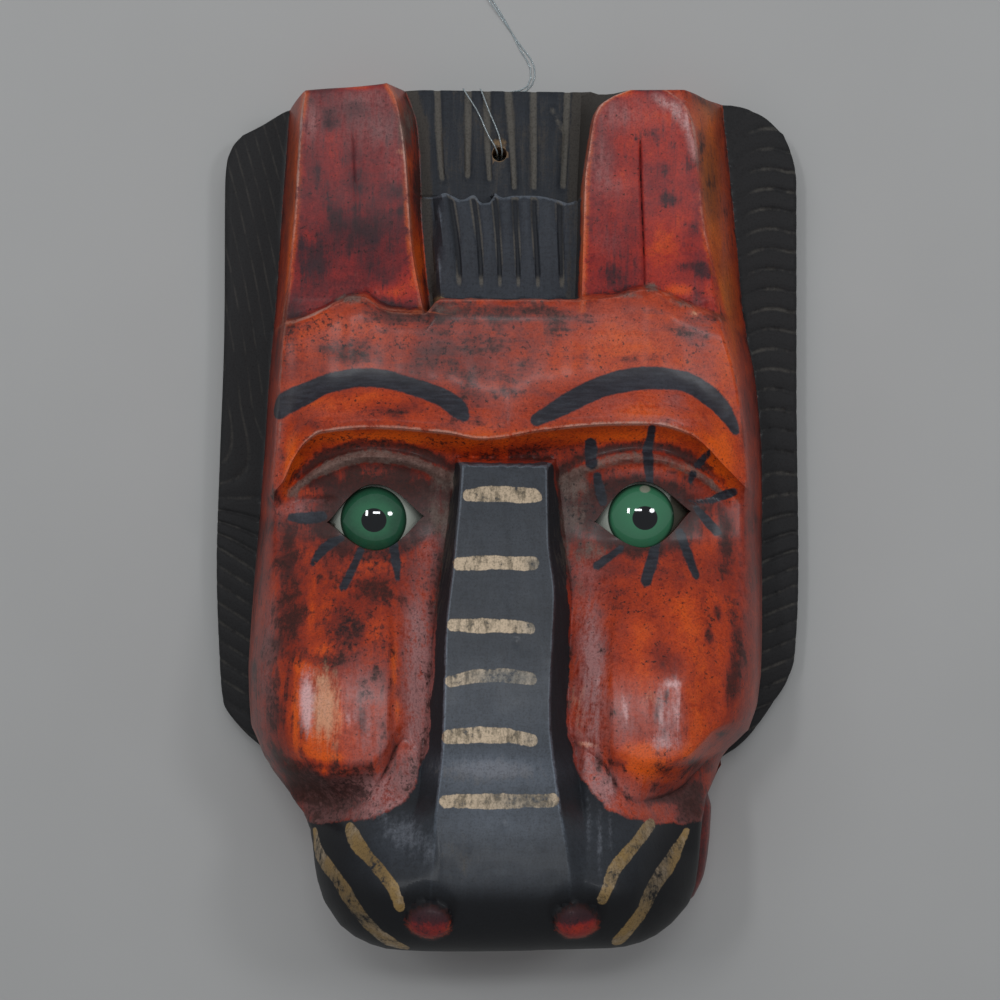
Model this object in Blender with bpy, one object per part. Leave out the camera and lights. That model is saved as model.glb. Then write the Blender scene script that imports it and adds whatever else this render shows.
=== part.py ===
"""Carved and painted horse mask, one block of wood with two glass eyes and a hanging line.

The mask lies on its back: +Z is the way the face looks, +Y runs up to the ears, +X is to the right
as seen from the front, and the flat back rim is on the plane z = 0 with the origin in its middle.
Lengths are in millimetres while the shape is worked out, and the finished meshes are in metres.
"""

import math

import bpy
import numpy as np

MM = 0.001

# Driving dimensions: heights over the plane of the back rim
BOARD_Z = 14.0
STRIP_Z = 20.0
LOCK_Z = 33.0
CHANNEL_Z = 26.5
LIP_Z = 60.0
CHIN_LIP_Z = 68.0
EAR_TOP_Z = 40.0
EAR_BASE_Z = 47.0
FOREHEAD_Z = 59.0
MUZZLE_Z = 104.0

# Heights of the carved arcs over the eyes and of the nostrils, and depth of the fold round the cheeks
LID_HEIGHT = 2.8
LID_HALF_WIDTH = 1.8
NOSTRIL_HEIGHT = 5.4
NOSTRIL_HOLLOW = 2.6
FOLD_DEPTH = 0.7

# Top of the cutters that open the front, back of the pockets behind the eyes, and room left round
# each glass eye
CLEAR_TOP = 75.0
POCKET_BACK = 15.0
GAP = 0.3

# Middle of the outline on the carver's centre lines, which becomes the origin
MIDDLE = (0.65, -1.55)

# Cells of the front grid in each band between the lines below, across and then down
COLUMN_CELLS = (2, 3, 7, 2, 7, 2, 7, 3, 2)
ROW_CELLS = (4, 5, 6, 2, 7, 8, 4, 14)

# Eyes: place of each, ball radius, outer radius, heights of the front and of the flat back
EYES = {"left": (-45.2, -7.3), "right": (45.6, -5.1)}
BALL = 20.0
EYE_RADIUS = 18.0
EYE_FRONT = 54.5
EYE_BACK = 41.5
EYE_OPENING = 32.4
EYE_RISE = 11.5
EYE_FALL = 10.2
EYE_POWER = 2.7

# Hanging hole, its recess behind for the knot, and the line
HOLE = (-4.3, 123.5)
HOLE_RADIUS = 2.65
RECESS_RADIUS = 7.0
RECESS_DEPTH = 5.0
LINE_DIAMETER = 0.5
LINE_POINTS = 80
KNOT_RADIUS = 3.3

# The hollow for the face: middle, half widths and height of its vault
HOLLOW = (0.0, -16.0)
HOLLOW_HALF = (66.0, 84.0)
HOLLOW_TOP = 46.0
HOLLOW_SQUARENESS = 2.6


def remove_everything():
    for thing in list(bpy.data.objects):
        bpy.data.objects.remove(thing)


def through(at, *points):
    """A smooth curve through hand-set (station, value) points that never overshoots them."""
    station, value = np.array(sorted(points), float).T
    step = np.diff(station)
    slope = np.diff(value) / step
    tangent = np.concatenate([slope[:1], np.zeros(len(slope) - 1), slope[-1:]])
    before, after = slope[:-1], slope[1:]
    same_way = before * after > 0
    mean = 2 * before * after / np.where(same_way, before + after, 1)
    tangent[1:-1] = np.where(same_way, mean, 0)
    at = np.clip(at, station[0], station[-1])
    k = np.clip(np.searchsorted(station, at) - 1, 0, len(step) - 1)
    t = (at - station[k]) / step[k]
    start = value[k] * (1 + 2 * t) * (1 - t) ** 2 + value[k + 1] * t * t * (3 - 2 * t)
    return start + step[k] * (tangent[k] * t * (1 - t) ** 2 - tangent[k + 1] * t * t * (1 - t))


def ease(low, high, value):
    """0 below low, 1 above high, and a smooth rise between."""
    t = np.clip((value - low) / (high - low), 0, 1)
    return t * t * (3 - 2 * t)


def mix(a, b, share):
    return a + (b - a) * share


def higher(a, b, round_by):
    """The higher of two heights, with the valley between them rounded."""
    h = np.clip(0.5 + 0.5 * (a - b) / round_by, 0, 1)
    return mix(b, a, h) + round_by * h * (1 - h)


# Lines down the mask: x for each y

def board_left(y):
    return through(y, (-134, -59.5), (-126, -62.3), (-116, -63.8), (-111, -64.7), (-106, -67),
                   (-101, -72), (-95, -80), (-88.5, -89), (-82, -96), (-74, -101.1), (-59, -102.6),
                   (-21, -104.2), (12, -103.6), (60, -102.6), (112, -103), (120, -102.5),
                   (126, -100.4), (130, -97))


def board_right(y):
    return through(y, (-134, 62.5), (-128.5, 65), (-118, 66.3), (-107, 67), (-101.5, 68.5),
                   (-96.5, 72.5), (-92, 78), (-88, 84), (-82.7, 89.3), (-73, 96.1), (-63.3, 102.1),
                   (-55, 104.5), (-30, 105.5), (36, 104), (90, 103.2), (117, 102.7), (126, 100.9),
                   (133.2, 97.8))


def foot_left(y):
    return through(y, (-134, -57), (-110, -61), (-96, -77), (-86, -88.2), (-76, -90.1), (-59, -91),
                   (-32, -90.1), (9, -87.7), (42, -86), (76, -83.5), (99, -82.4), (146, -79.6))


def foot_right(y):
    return through(y, (-134, 60), (-110, 63.5), (-96, 70), (-86, 82.5), (-78, 87.9), (-69, 90),
                   (-50, 91.4), (-3, 91.9), (12, 91.7), (44, 88.9), (66, 84.3), (90, 81.7),
                   (113, 79.2), (128, 77.4), (139, 76), (146, 75.3))


def edge_left(y):
    return through(y, (-134, -50), (-105, -54), (-82, -71.7), (-57, -74.5), (-35, -79),
                   (-16, -80.8), (5, -78.9), (26, -77.8), (62, -78.1), (74, -76.2), (101, -74),
                   (130, -73.2), (146, -71))


def edge_right(y):
    return through(y, (-134, 52), (-105, 56), (-84, 69.8), (-67, 71.4), (-53, 75.6), (-33, 79.8),
                   (-2, 81), (34, 78.7), (56, 76.8), (67, 74.2), (82, 69.5), (97, 66), (111, 64.7),
                   (130, 62.9), (135.7, 60.6), (139.4, 57.6), (143, 52.8), (146, 50))


def inner_left(y):
    """Inner edge of the left ear above the forehead, foot of the nose bridge below it."""
    return through(y, (-134, -32), (-110, -28), (-86, -26), (-60, -24.2), (-33, -22.9), (-8, -19.4),
                   (12, -18), (40, -24), (64, -29.5), (82, -33.3), (91, -34.5), (102, -35.4),
                   (121, -37.2), (138, -40.4), (146, -45))


def wall_left(y):
    """Foot of the left ear's inner wall above the forehead, top edge of the nose bridge below."""
    return through(y, (-134, -23), (-102, -21.4), (-76, -19.5), (-46, -19.3), (-19, -17.1),
                   (12, -15.3), (40, -20), (64, -27.6), (90, -30.9), (104, -32), (120, -32.8),
                   (134, -34.2), (146, -38.6))


def wall_right(y):
    return through(y, (-134, 22), (-116, 21), (-95, 17.4), (-68, 14.4), (-45, 15.2), (-32, 15.7),
                   (-13, 13.6), (12, 13.1), (40, 18), (69, 22.8), (88, 23.2), (108, 23.5),
                   (126, 24.1), (136, 24.4), (146, 24.6))


def inner_right(y):
    return through(y, (-134, 31), (-110, 27), (-85, 22.5), (-57, 20.9), (-41, 22), (-30, 21.9),
                   (-8, 18.8), (12, 16.6), (40, 21), (69, 24.6), (90, 25), (110, 25.4), (123, 27),
                   (132, 28.3), (137, 30.6), (140.5, 35.6), (143, 41), (146, 44))


COLUMNS = (board_left, foot_left, edge_left, inner_left, wall_left,
           wall_right, inner_right, edge_right, foot_right, board_right)


# Lines across the mask: y for each x

def top_edge(x):
    return through(x, (-97, 130), (-90, 133.7), (-80, 139.4), (-72, 141), (-45, 143.8),
                   (-38, 145.6), (-30, 146.05), (26, 146.05), (31, 143.7), (36, 142.8), (48, 143),
                   (62, 143.1), (69, 142.6), (77, 143.4), (82, 142.8), (90, 139.7), (97.8, 133.2))


def lock_top(x):
    return np.full_like(x, 108.0)


def ear_base(x):
    return through(x, (-104, 58), (-76.4, 59.4), (-64, 63.7), (-58, 67.2), (-50, 69.3),
                   (-44, 65.5), (-39.5, 64), (-29, 63.6), (-24, 68.5), (24, 69), (35.6, 70.2),
                   (46, 73.1), (52.6, 71.1), (62.3, 66.8), (74.3, 63.2), (105, 60))


def brow_edge(x):
    return through(x, (-104, -4), (-82, 0), (-76, 5.3), (-72.7, 12.4), (-68.1, 18.8), (-62.7, 22.2),
                   (-45, 23.8), (-21, 22.4), (-9, 20.6), (12.3, 23.9), (33.9, 26), (48.5, 26.3),
                   (60.7, 23.3), (66.8, 19), (74, 12), (84, 4), (105, 0))


def socket_top(x):
    return brow_edge(x) - 4.5


def under_eye(x):
    return np.full_like(x, -21.0)


def fold_reach(x):
    """How far above the fold the cheek starts to turn under; beside the nose it hardly does."""
    return through(x, (-60, 14), (-48, 13.5), (-42.4, 10), (-37, 7.5), (-32, 5.5), (-26, 3.5), (20, 3.0),
                   (26, 3.5), (31, 6), (36, 11), (41, 14), (60, 14))


def cheek_turn(x):
    return cheek_end(x) + fold_reach(x)


def cheek_end(x):
    """The carved fold where the cheeks end over the muzzle."""
    return through(x, (-104, -101), (-70, -105), (-58, -104.5), (-50.3, -101.4), (-45.2, -98.4),
                   (-40.6, -92.6), (-38, -88), (-35, -81.5), (-32.6, -79.2), (-29.5, -82), (-25.5, -87),
                   (-20, -88), (0, -84), (20, -79.5), (26.2, -82), (32.4, -86), (37.1, -93),
                   (40.8, -96.6), (46, -98.2), (52.2, -98.3),
                   (59.3, -96.6), (65.6, -92), (69.4, -88.5), (76, -86.5), (105, -86))


def bottom_edge(x):
    return through(x, (-59.5, -134), (-53, -141.9), (-44, -147), (-35.6, -148.9), (-23.5, -149.15),
                   (6, -148.6), (17, -148), (37, -147.5), (44.6, -146.2), (53.7, -142.1),
                   (62.5, -134))


ROWS = (top_edge, lock_top, ear_base, brow_edge, socket_top, under_eye, cheek_turn, cheek_end,
        bottom_edge)


def from_outline(x, y):
    """Distance inside the outline of the head, which the board leaves free at its two sides."""
    down = np.linspace(-90, 200, 30)
    up = down[::-1]
    left = np.stack([foot_left(np.minimum(up, 146)), up], 1)
    right = np.stack([foot_right(np.minimum(down, 146)), down], 1)
    fall = np.linspace(-95, -133, 8)
    across = np.linspace(-59, 62, 24)
    chin = [np.stack([board_left(fall), fall], 1), np.stack([across, bottom_edge(across)], 1),
            np.stack([board_right(fall[::-1]), fall[::-1]], 1)]
    corner = np.concatenate([left, *chin, right])
    best = np.full(x.shape, np.inf)
    inside = np.zeros(x.shape, bool)
    for (ax, ay), (bx, by) in zip(corner, np.roll(corner, -1, axis=0)):
        long = (bx - ax) ** 2 + (by - ay) ** 2
        share = np.clip(((x - ax) * (bx - ax) + (y - ay) * (by - ay)) / long, 0, 1)
        best = np.minimum(best, np.hypot(x - ax - share * (bx - ax), y - ay - share * (by - ay)))
        if ay != by:
            inside ^= ((ay > y) != (by > y)) & (x < (bx - ax) * (y - ay) / (by - ay) + ax)
    return np.where(inside, best, -best)


def across_face(x, y):
    """0 at the foot of the nose bridge, 1 at the front edge of the side of the head."""
    left = (inner_left(y) - x) / (inner_left(y) - edge_left(y))
    right = (x - inner_right(y)) / (edge_right(y) - inner_right(y))
    return np.clip(np.where(x < 0, left, right), 0, 1.6)


def upper_face(x, y):
    """Ears, forelock between them and the forehead down to the edge of the brow."""
    block = mix(CHANNEL_Z, LOCK_Z, ease(-27.2, -24.6, x))
    middle = mix(block, STRIP_Z, ease(107.2, 108.8, y))
    left_fold = np.abs(x + 53) * 0.05
    right_fold = np.abs(x - 45.5) * 0.07
    lean = mix(EAR_TOP_Z, EAR_BASE_Z, np.clip((142 - y) / 74, 0, 1))
    ear = lean + np.where(x < 0, left_fold, right_fold)
    into = np.where(x < 0, (x - inner_left(y)) / (wall_left(y) - inner_left(y)),
                    (inner_right(y) - x) / (inner_right(y) - wall_right(y)))
    upper = mix(ear, middle, np.clip(into, 0, 1))
    over_brow = y - brow_edge(x)
    forehead = FOREHEAD_Z - 0.0011 * x * x
    ridge = through(np.abs(x), (0, 1.5), (14, 4.5), (45, 7.5), (62, 7), (80, 2))
    forehead = forehead + ridge * np.exp(-((over_brow - 2) / 9) ** 2)
    forehead = forehead - 1.1 * ease(8, 0, ear_base(x) - y)
    return mix(upper, forehead, ease(-2, 1.2, ear_base(x) - y))


def lower_face(x, y):
    """Eye hollows and cheeks: heights beside the nose, on the crown of the cheek and at the side.
    Low down the cheek is cut in flat facets, the inner one, the front and the outer one."""
    nose = through(y, (-90, 75), (-74, 71), (-50, 64), (-30, 57.5), (-8, 51), (8, 50), (22, 54))
    crown = through(y, (-90, 84), (-76, 82.5), (-58, 79), (-42, 71), (-24, 60), (-12, 55),
                    (0, 54.5), (10, 55.5), (22, 56.5))
    side = through(y, (-90, 78), (-70, 75), (-50, 68), (-30, 57), (-10, 49), (10, 47), (30, 49))
    a = across_face(x, y)
    smooth = mix(mix(nose, crown, ease(-0.05, 0.32, a)), side, ease(0.5, 1.1, a))
    inner_facet = mix(nose, crown - 1.5, np.clip(a / 0.26, 0, 1))
    left = np.interp(a, (0.26, 0.58, 0.865, 0.95, 1.06, 1.6), (1.5, 0, 4.2, 7.0, 9.5, 15))
    right = np.interp(a, (0.26, 0.52, 0.73, 0.945, 1.06, 1.6), (1.5, 0, 1.8, 8.0, 10.5, 16))
    faceted = np.where(a < 0.26, inner_facet, crown - np.where(x < 0, left, right))
    return mix(smooth, faceted, ease(-30, -54, y))


def muzzle(x, y):
    """The muzzle under and below the cheeks, with a lobe on each side of the nose and the gap beside
    the bridge running out between them."""
    nose = through(y, (-150, 100), (-125, 99.5), (-113, 95), (-100, 86), (-90, 79.5), (-78, 75.5))
    flank = through(y, (-150, 88), (-122, 85), (-110, 80), (-100, 73.5), (-90, 68.5), (-78, 64))
    side = through(y, (-150, 80), (-120, 76), (-105, 66), (-95, 58), (-80, 54))
    out = np.abs(x + 0.5)
    lobed = mix(nose, flank, ease(34, 60, out))
    return mix(lobed, side, ease(42, 66, out)) - 6.5 * ease(28, 22, out) * ease(-109, -96, y)


def bridge(x, y):
    """The raised bridge of the nose, flat on top, with a sloping wall on each side."""
    top = through(y, (-150, MUZZLE_Z + 0.5), (-138, MUZZLE_Z - 0.2), (-126, 102.2), (-114, 99.6),
                  (-103, 96.2), (-92, 92), (-75, 85.5), (-50, 79), (-20, 71.5), (0, 66.5), (12, 63))
    steep_left = through(y, (-150, 0.3), (-122, 0.35), (-110, 0.6), (-92, 1.8), (-50, 2.7), (5, 5.0))
    steep_right = through(y, (-150, 0.4), (-122, 0.5), (-108, 0.9), (-90, 1.8), (-30, 2.5), (5, 3.3))
    beyond_left = np.maximum(wall_left(y) - x, 0) * steep_left
    beyond_right = np.maximum(x - wall_right(y), 0) * steep_right
    beyond_top = np.maximum(y - 11.5, 0) * 4
    return top - np.maximum(np.maximum(beyond_left, beyond_right), beyond_top)


def lid_ridges(x, y):
    """The narrow carved arcs over the eyes."""
    height = 0
    for side, (ex, ey) in EYES.items():
        out = (x - ex) * (-1 if side == "left" else 1)
        reach = np.where(out > 0, 30.0, 28.0)
        fall = np.where(out > 0, 0.0150, 0.0108)
        line = ey + (21.4 if side == "left" else 20.0) - fall * out * out
        present = np.sqrt(np.clip(1 - (out / reach) ** 2, 0, 1))
        height = height + LID_HEIGHT * present * np.exp(-((y - line) / LID_HALF_WIDTH) ** 2)
    return height


def nostrils(x, y):
    """Two small domes on the front of the muzzle, each under a scooped hollow."""
    height = 0
    for nx, ny in ((-23.0, -133.8), (23.7, -133.5)):
        r = np.hypot((x - nx) / 7.2, (y - ny) / 6.3)
        hollow = np.hypot((x - nx) / 10.0, (y - ny - 3.5) / 9.0)
        height = height + NOSTRIL_HEIGHT * np.sqrt(np.clip(1 - r * r, 0, 1))
        height = height - NOSTRIL_HOLLOW * np.clip(1 - hollow ** 2, 0, 1)
    return height


def relief(x, y):
    """Height of the carved front over the plane that the back rim lies on."""
    low = lower_face(x, y)
    chin = muzzle(x, y)
    over_fold = np.clip((y - cheek_end(x)) / fold_reach(x), 0, 1)
    cheek = (1 - (1 - over_fold) ** 1.14) ** (1 / 1.14)
    low = mix(chin, low, cheek)
    low = low - FOLD_DEPTH * np.exp(-((y - cheek_end(x)) / 1.5) ** 2) * (np.abs(x) > 24)
    low = low + lid_ridges(x, y)
    under_brow = np.clip((brow_edge(x) - y) / 6.5, 0, 1)
    front = mix(upper_face(x, y), low, under_brow ** 0.8)
    front = np.where(y < 20, higher(front, bridge(x, y), 0.8), front)
    inward = from_outline(x, y)
    left_width = through(y, (-150, 28), (-120, 18), (-100, 15), (-80, 20), (-50, 18), (-20, 11),
                         (10, 8.6), (146, 8))
    right_width = through(y, (-150, 28), (-120, 18), (-100, 15), (-80, 19), (-50, 15), (-20, 11.5),
                          (20, 11), (74, 14), (119, 15), (146, 16.5))
    width = mix(left_width, right_width, ease(-40, 40, x))
    width = mix(width, 29.0, ease(-100, -136, y) * ease(56, 28, np.abs(x)))
    share = np.clip(inward / width, 0, 1)
    power = through(y, (-60, 2.0), (-20, 1.5), (20, 1.15), (146, 1.05))
    rise = (1 - (1 - share) ** power) ** (1 / power)
    start = mix(BOARD_Z, LIP_Z, ease(-86, -106, y))
    start = mix(start, CHIN_LIP_Z, ease(-126, -147, y))
    head = start + (front - start) * rise + nostrils(x, y)
    return np.where((inward > 0) | (y < -92), head, BOARD_Z)


def spread(counts):
    """Places along a row of bands: count cells in each band, as band number plus share."""
    places = [k + np.arange(n) / n for k, n in enumerate(counts)]
    return np.concatenate([*places, [len(counts)]])


def between(lines, place, at):
    """Value, at the place of each band, of a family of lines worked out at `at`."""
    band = np.minimum(place.astype(int), len(lines) - 2)
    all_lines = np.stack([f(at) for f in lines])
    low = np.take_along_axis(all_lines, band[None], 0)[0]
    high = np.take_along_axis(all_lines, band[None] + 1, 0)[0]
    return mix(low, high, place - band)


def front_grid(column_counts, row_counts):
    """x, y and z of the carved front, on a grid whose lines follow the edges of the carving."""
    across, down = np.meshgrid(spread(column_counts), spread(row_counts))
    x = mix(-90.0, 90.0, across / (len(COLUMNS) - 1))
    y = np.zeros_like(x)
    for _ in range(12):
        y = between(ROWS, down, x)
        x = between(COLUMNS, across, y)
    return x, y, relief(x, y)


def around(grid):
    """The border of a grid as one ring: top row, right side, bottom row, left side."""
    return np.concatenate([grid[0, :-1], grid[:-1, -1], grid[-1, :0:-1], grid[:0:-1, 0]])


def side_rings(ring_x, ring_y, ring_z):
    """The sides from the border of the front down to the back rim: straight at the board and ears,
    and on the muzzle a lip, the mouth slot and the lower jaw under it."""
    ahead_x, ahead_y = np.roll(ring_x, -1), np.roll(ring_y, -1)
    back_x, back_y = np.roll(ring_x, 1), np.roll(ring_y, 1)
    run = np.hypot(ahead_x - back_x, ahead_y - back_y)
    out_x, out_y = (back_y - ahead_y) / run, (ahead_x - back_x) / run
    for _ in range(int((len(run) / 180) ** 2) + 1):
        out_x = (np.roll(out_x, 1) + 2 * out_x + np.roll(out_x, -1)) / 4
        out_y = (np.roll(out_y, 1) + 2 * out_y + np.roll(out_y, -1)) / 4
    mouth = ease(-92, -106, ring_y)
    jaw = mix(0.5, 6.5, ease(-10, 55, ring_x))
    jaw = mix(jaw, -6.0, ease(-134, -146, ring_y))
    # Share of the way down, how far inside the outline, and share of the jaw's own shift
    drops = ((0.08, -0.6, 0), (0.16, -2.6, 0), (0.21, -6.5, 0), (0.24, -11.0, 0), (0.33, -11.0, 0),
             (0.36, -5.0, 0.6), (0.41, -1.5, 1), (0.52, 0.2, 1), (0.76, 0.0, 1), (1.0, -3.0, 1))
    rings = []
    for drop, inset, on_jaw in drops:
        push = mouth * (inset + jaw * on_jaw)
        rings.append(np.stack([ring_x + out_x * push, ring_y + out_y * push, ring_z * (1 - drop)], 1))
    return rings


def mesh_object(name, points, faces):
    mesh = bpy.data.meshes.new(name)
    mesh.from_pydata([tuple(p) for p in points], [], faces)
    mesh.update()
    made = bpy.data.objects.new(name, mesh)
    bpy.context.scene.collection.objects.link(made)
    return made


def placed(points):
    """Points in metres from the origin, from points on the carver's centre lines."""
    points = np.array(points, float)
    return (points - np.array([MIDDLE[0], MIDDLE[1], 0])) * MM


def carved_block(name, column_counts, row_counts):
    """The block before it is hollowed: front, sides and flat back as one closed mesh."""
    x, y, z = front_grid(column_counts, row_counts)
    rows, columns = x.shape
    number = np.arange(rows * columns).reshape(rows, columns)
    faces = [(number[j, i], number[j + 1, i], number[j + 1, i + 1], number[j, i + 1])
             for j in range(rows - 1) for i in range(columns - 1)]
    points = [np.stack([x.ravel(), y.ravel(), z.ravel()], 1)]
    last = around(number)
    start = rows * columns
    for ring in side_rings(around(x), around(y), around(z)):
        this = start + np.arange(len(ring))
        points.append(ring)
        faces += list(zip(last, np.roll(last, -1), np.roll(this, -1), this))
        last, start = this, start + len(ring)
    faces.append(tuple(last))
    return mesh_object(name, placed(np.concatenate(points)), [tuple(map(int, f)) for f in faces])


def turned(name, place, profile, segments):
    """A closed solid turned about an upright axis at place: profile is (radius, z) from the lower
    middle, outwards and up to the upper middle."""
    angles = np.arange(segments) * 2 * math.pi / segments
    points = [(place[0], place[1], profile[0][1])]
    for radius, z in profile[1:-1]:
        ring_x = place[0] + radius * np.cos(angles)
        ring_y = place[1] + radius * np.sin(angles)
        points += [(x, y, z) for x, y in zip(ring_x, ring_y)]
    points.append((place[0], place[1], profile[-1][1]))
    faces = []
    for k in range(segments):
        after = (k + 1) % segments
        faces.append((0, 1 + after, 1 + k))
        for ring in range(len(profile) - 3):
            low, high = 1 + ring * segments, 1 + (ring + 1) * segments
            faces.append((low + k, low + after, high + after, high + k))
        top = 1 + (len(profile) - 3) * segments
        faces.append((top + k, top + after, len(points) - 1))
    return mesh_object(name, placed(points), faces)


def cap_profile(radius, ball, front, back, rings):
    """Profile of a glass eye: flat back, short edge and a domed front."""
    centre = front - ball
    half = math.asin(radius / ball)
    dome = [(ball * math.sin(half * k / rings), centre + ball * math.cos(half * k / rings))
            for k in range(rings, -1, -1)]
    return [(0, back), (radius, back), *dome]


def as_cutter(thing):
    thing.hide_render = True
    thing.display_type = "WIRE"
    return thing


def cut(thing, cutter):
    modifier = thing.modifiers.new(cutter.name, "BOOLEAN")
    modifier.operation = "DIFFERENCE"
    modifier.solver = "EXACT"
    modifier.object = cutter


def almond(side, points):
    """Outline of an eye opening: two arcs between the corners, a little turned."""
    ex, ey = EYES[side]
    tilt = math.radians(4.5 if side == "left" else 7.0)
    turn = np.linspace(0, 2 * math.pi, points, endpoint=False)
    along = np.cos(turn) * EYE_OPENING / 2
    rise = np.where(turn < math.pi, EYE_RISE, EYE_FALL)
    away = np.sign(np.sin(turn)) * rise * np.abs(np.sin(turn)) ** EYE_POWER
    x = ex + 0.6 + along * math.cos(tilt) - away * math.sin(tilt)
    y = ey + 0.2 + along * math.sin(tilt) + away * math.cos(tilt)
    return np.stack([x, y], 1)


def almond_cutter(side, points):
    """The opening cut straight through to the glass, a little wider at the front."""
    ring = almond(side, points)
    middle = ring.mean(axis=0)
    low = np.column_stack([ring, np.full(points, EYE_BACK)])
    high = np.column_stack([middle + (ring - middle) * 1.10, np.full(points, CLEAR_TOP)])
    sides = [(k, (k + 1) % points, points + (k + 1) % points, points + k) for k in range(points)]
    ends = [tuple(range(points - 1, -1, -1)), tuple(range(points, 2 * points))]
    return mesh_object("opening_" + side, placed(np.concatenate([low, high])), sides + ends)


def hollow_cutter():
    """The vault scooped out behind for the face, with rounded-off square corners at the rim."""
    rings, segments = 8, 36
    turn = np.arange(segments) * 2 * math.pi / segments
    power = HOLLOW_SQUARENESS
    square = 1 / (np.abs(np.cos(turn)) ** power + np.abs(np.sin(turn)) ** power) ** (1 / power)
    points = []
    heights = [-3.0] + [HOLLOW_TOP * math.sin(math.pi / 2 * k / rings) for k in range(rings)]
    widths = [1.0] + [math.cos(math.pi / 2 * k / rings) ** 0.8 for k in range(rings)]
    for z, wide in zip(heights, widths):
        x = HOLLOW[0] + HOLLOW_HALF[0] * wide * square * np.cos(turn)
        y = HOLLOW[1] + HOLLOW_HALF[1] * wide * square * np.sin(turn)
        points += list(np.column_stack([x, y, np.full(segments, z)]))
    points.append((HOLLOW[0], HOLLOW[1], HOLLOW_TOP))
    faces = [tuple(range(segments - 1, -1, -1))]
    for ring in range(len(heights) - 1):
        for k in range(segments):
            after = (k + 1) % segments
            low, high = ring * segments, (ring + 1) * segments
            faces.append((low + k, low + after, high + after, high + k))
    last = (len(heights) - 1) * segments
    faces += [(last + k, last + (k + 1) % segments, len(points) - 1) for k in range(segments)]
    return mesh_object("hollow", placed(points), faces)


def material(name, colour, roughness, transmission=0.0):
    made = bpy.data.materials.new(name)
    made.use_nodes = True
    shader = made.node_tree.nodes["Principled BSDF"]
    shader.inputs["Base Color"].default_value = (*colour, 1)
    shader.inputs["Roughness"].default_value = roughness
    shader.inputs["Transmission Weight"].default_value = transmission
    return made


def make_mask():
    mask = carved_block("carved_mask", COLUMN_CELLS, ROW_CELLS)
    cut(mask, as_cutter(hollow_cutter()))
    hole = [(0, -2), (HOLE_RADIUS, -2), (HOLE_RADIUS, 60), (0, 60)]
    cut(mask, as_cutter(turned("hole", HOLE, hole, 16)))
    recess = [(0, -2), (RECESS_RADIUS, -2), (RECESS_RADIUS, RECESS_DEPTH), (0, RECESS_DEPTH)]
    cut(mask, as_cutter(turned("recess", HOLE, recess, 24)))
    for side, place in EYES.items():
        pocket = cap_profile(EYE_RADIUS + GAP, BALL + GAP, EYE_FRONT + GAP, POCKET_BACK, 5)
        cut(mask, as_cutter(turned("pocket_" + side, place, pocket, 28)))
        cut(mask, as_cutter(almond_cutter(side, 20)))
    mask.data.materials.append(material("painted_wood", (0.45, 0.08, 0.02), 0.4))


def make_eyes():
    glass = material("green_glass", (0.05, 0.2, 0.1), 0.05)
    for side, place in EYES.items():
        profile = cap_profile(EYE_RADIUS, BALL, EYE_FRONT, EYE_BACK, 6)
        eye = turned("glass_eye_" + side, place, profile, 28)
        eye.data.shade_smooth()
        eye.data.materials.append(glass)


# The hanging line: a loop that comes out of the hole, lies over the forelock and its top edge and
# along the ground, turns round and comes back beside itself into the same hole
LINE_ROUTE = (
    (-5.2, 123.5, 5.3), (-5.2, 123.5, 12.0), (-5.1, 123.8, 18.5), (-5.7, 125.6, 20.7),
    (-8.5, 130.2, 20.7), (-12.1, 138.0, 20.7), (-16.4, 144.6, 20.8), (-17.6, 146.7, 19.6),
    (-17.4, 147.0, 14.0), (-15.6, 147.2, 6.0), (-11.0, 148.0, 1.6), (-5.0, 149.2, 0.5),
    (1.5, 150.0, 0.4), (5.6, 152.0, 0.4), (6.8, 156.0, 0.4), (6.0, 160.0, 0.4),
    (2.8, 165.0, 0.4), (-0.6, 171.6, 0.4), (-4.4, 178.2, 0.4), (-8.6, 184.4, 0.4),
    (-13.4, 190.5, 0.4), (-17.6, 197.0, 0.4), (-17.6, 203.0, 0.4), (-12.6, 206.0, 0.4),
    (-8.2, 202.6, 0.4), (-8.6, 196.0, 0.4), (-10.6, 190.6, 0.6), (-10.4, 185.4, 1.2),
    (-6.4, 179.6, 1.3), (-1.6, 173.0, 0.6), (2.6, 167.0, 0.4), (7.2, 161.0, 0.4),
    (8.2, 155.4, 0.4), (6.0, 150.9, 0.4), (1.0, 148.7, 0.7), (-4.6, 147.9, 2.0),
    (-9.4, 147.2, 7.0), (-11.2, 147.0, 14.0), (-11.4, 146.7, 19.6), (-10.6, 144.6, 20.8),
    (-8.0, 138.0, 20.7), (-5.0, 131.2, 20.7), (-3.6, 125.8, 20.7), (-3.4, 123.8, 18.5),
    (-3.4, 123.5, 12.0), (-3.4, 123.5, 5.3),
)


def smooth_route(route, points):
    """Points along a smooth curve through the route's own points, by length."""
    route = np.array(route, float)
    ends = np.concatenate([[2 * route[0] - route[1]], route, [2 * route[-1] - route[-2]]])
    t = np.linspace(0, 1, 12, endpoint=False)[:, None]
    fine = []
    for a, b, c, d in zip(ends, ends[1:], ends[2:], ends[3:]):
        fine.append(0.5 * (2 * b + (c - a) * t + (2 * a - 5 * b + 4 * c - d) * t ** 2
                           + (3 * b - a - 3 * c + d) * t ** 3))
    fine = np.concatenate([*fine, route[-1:]])
    step = np.linalg.norm(np.diff(fine, axis=0), axis=1)
    bend = np.linalg.norm(np.diff(fine, n=2, axis=0), axis=1)
    weight = step + 6 * np.concatenate([bend, [0]])
    along = np.concatenate([[0], np.cumsum(weight)])
    at = np.linspace(0, along[-1], points)
    return np.stack([np.interp(at, along, fine[:, k]) for k in range(3)], 1)


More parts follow.
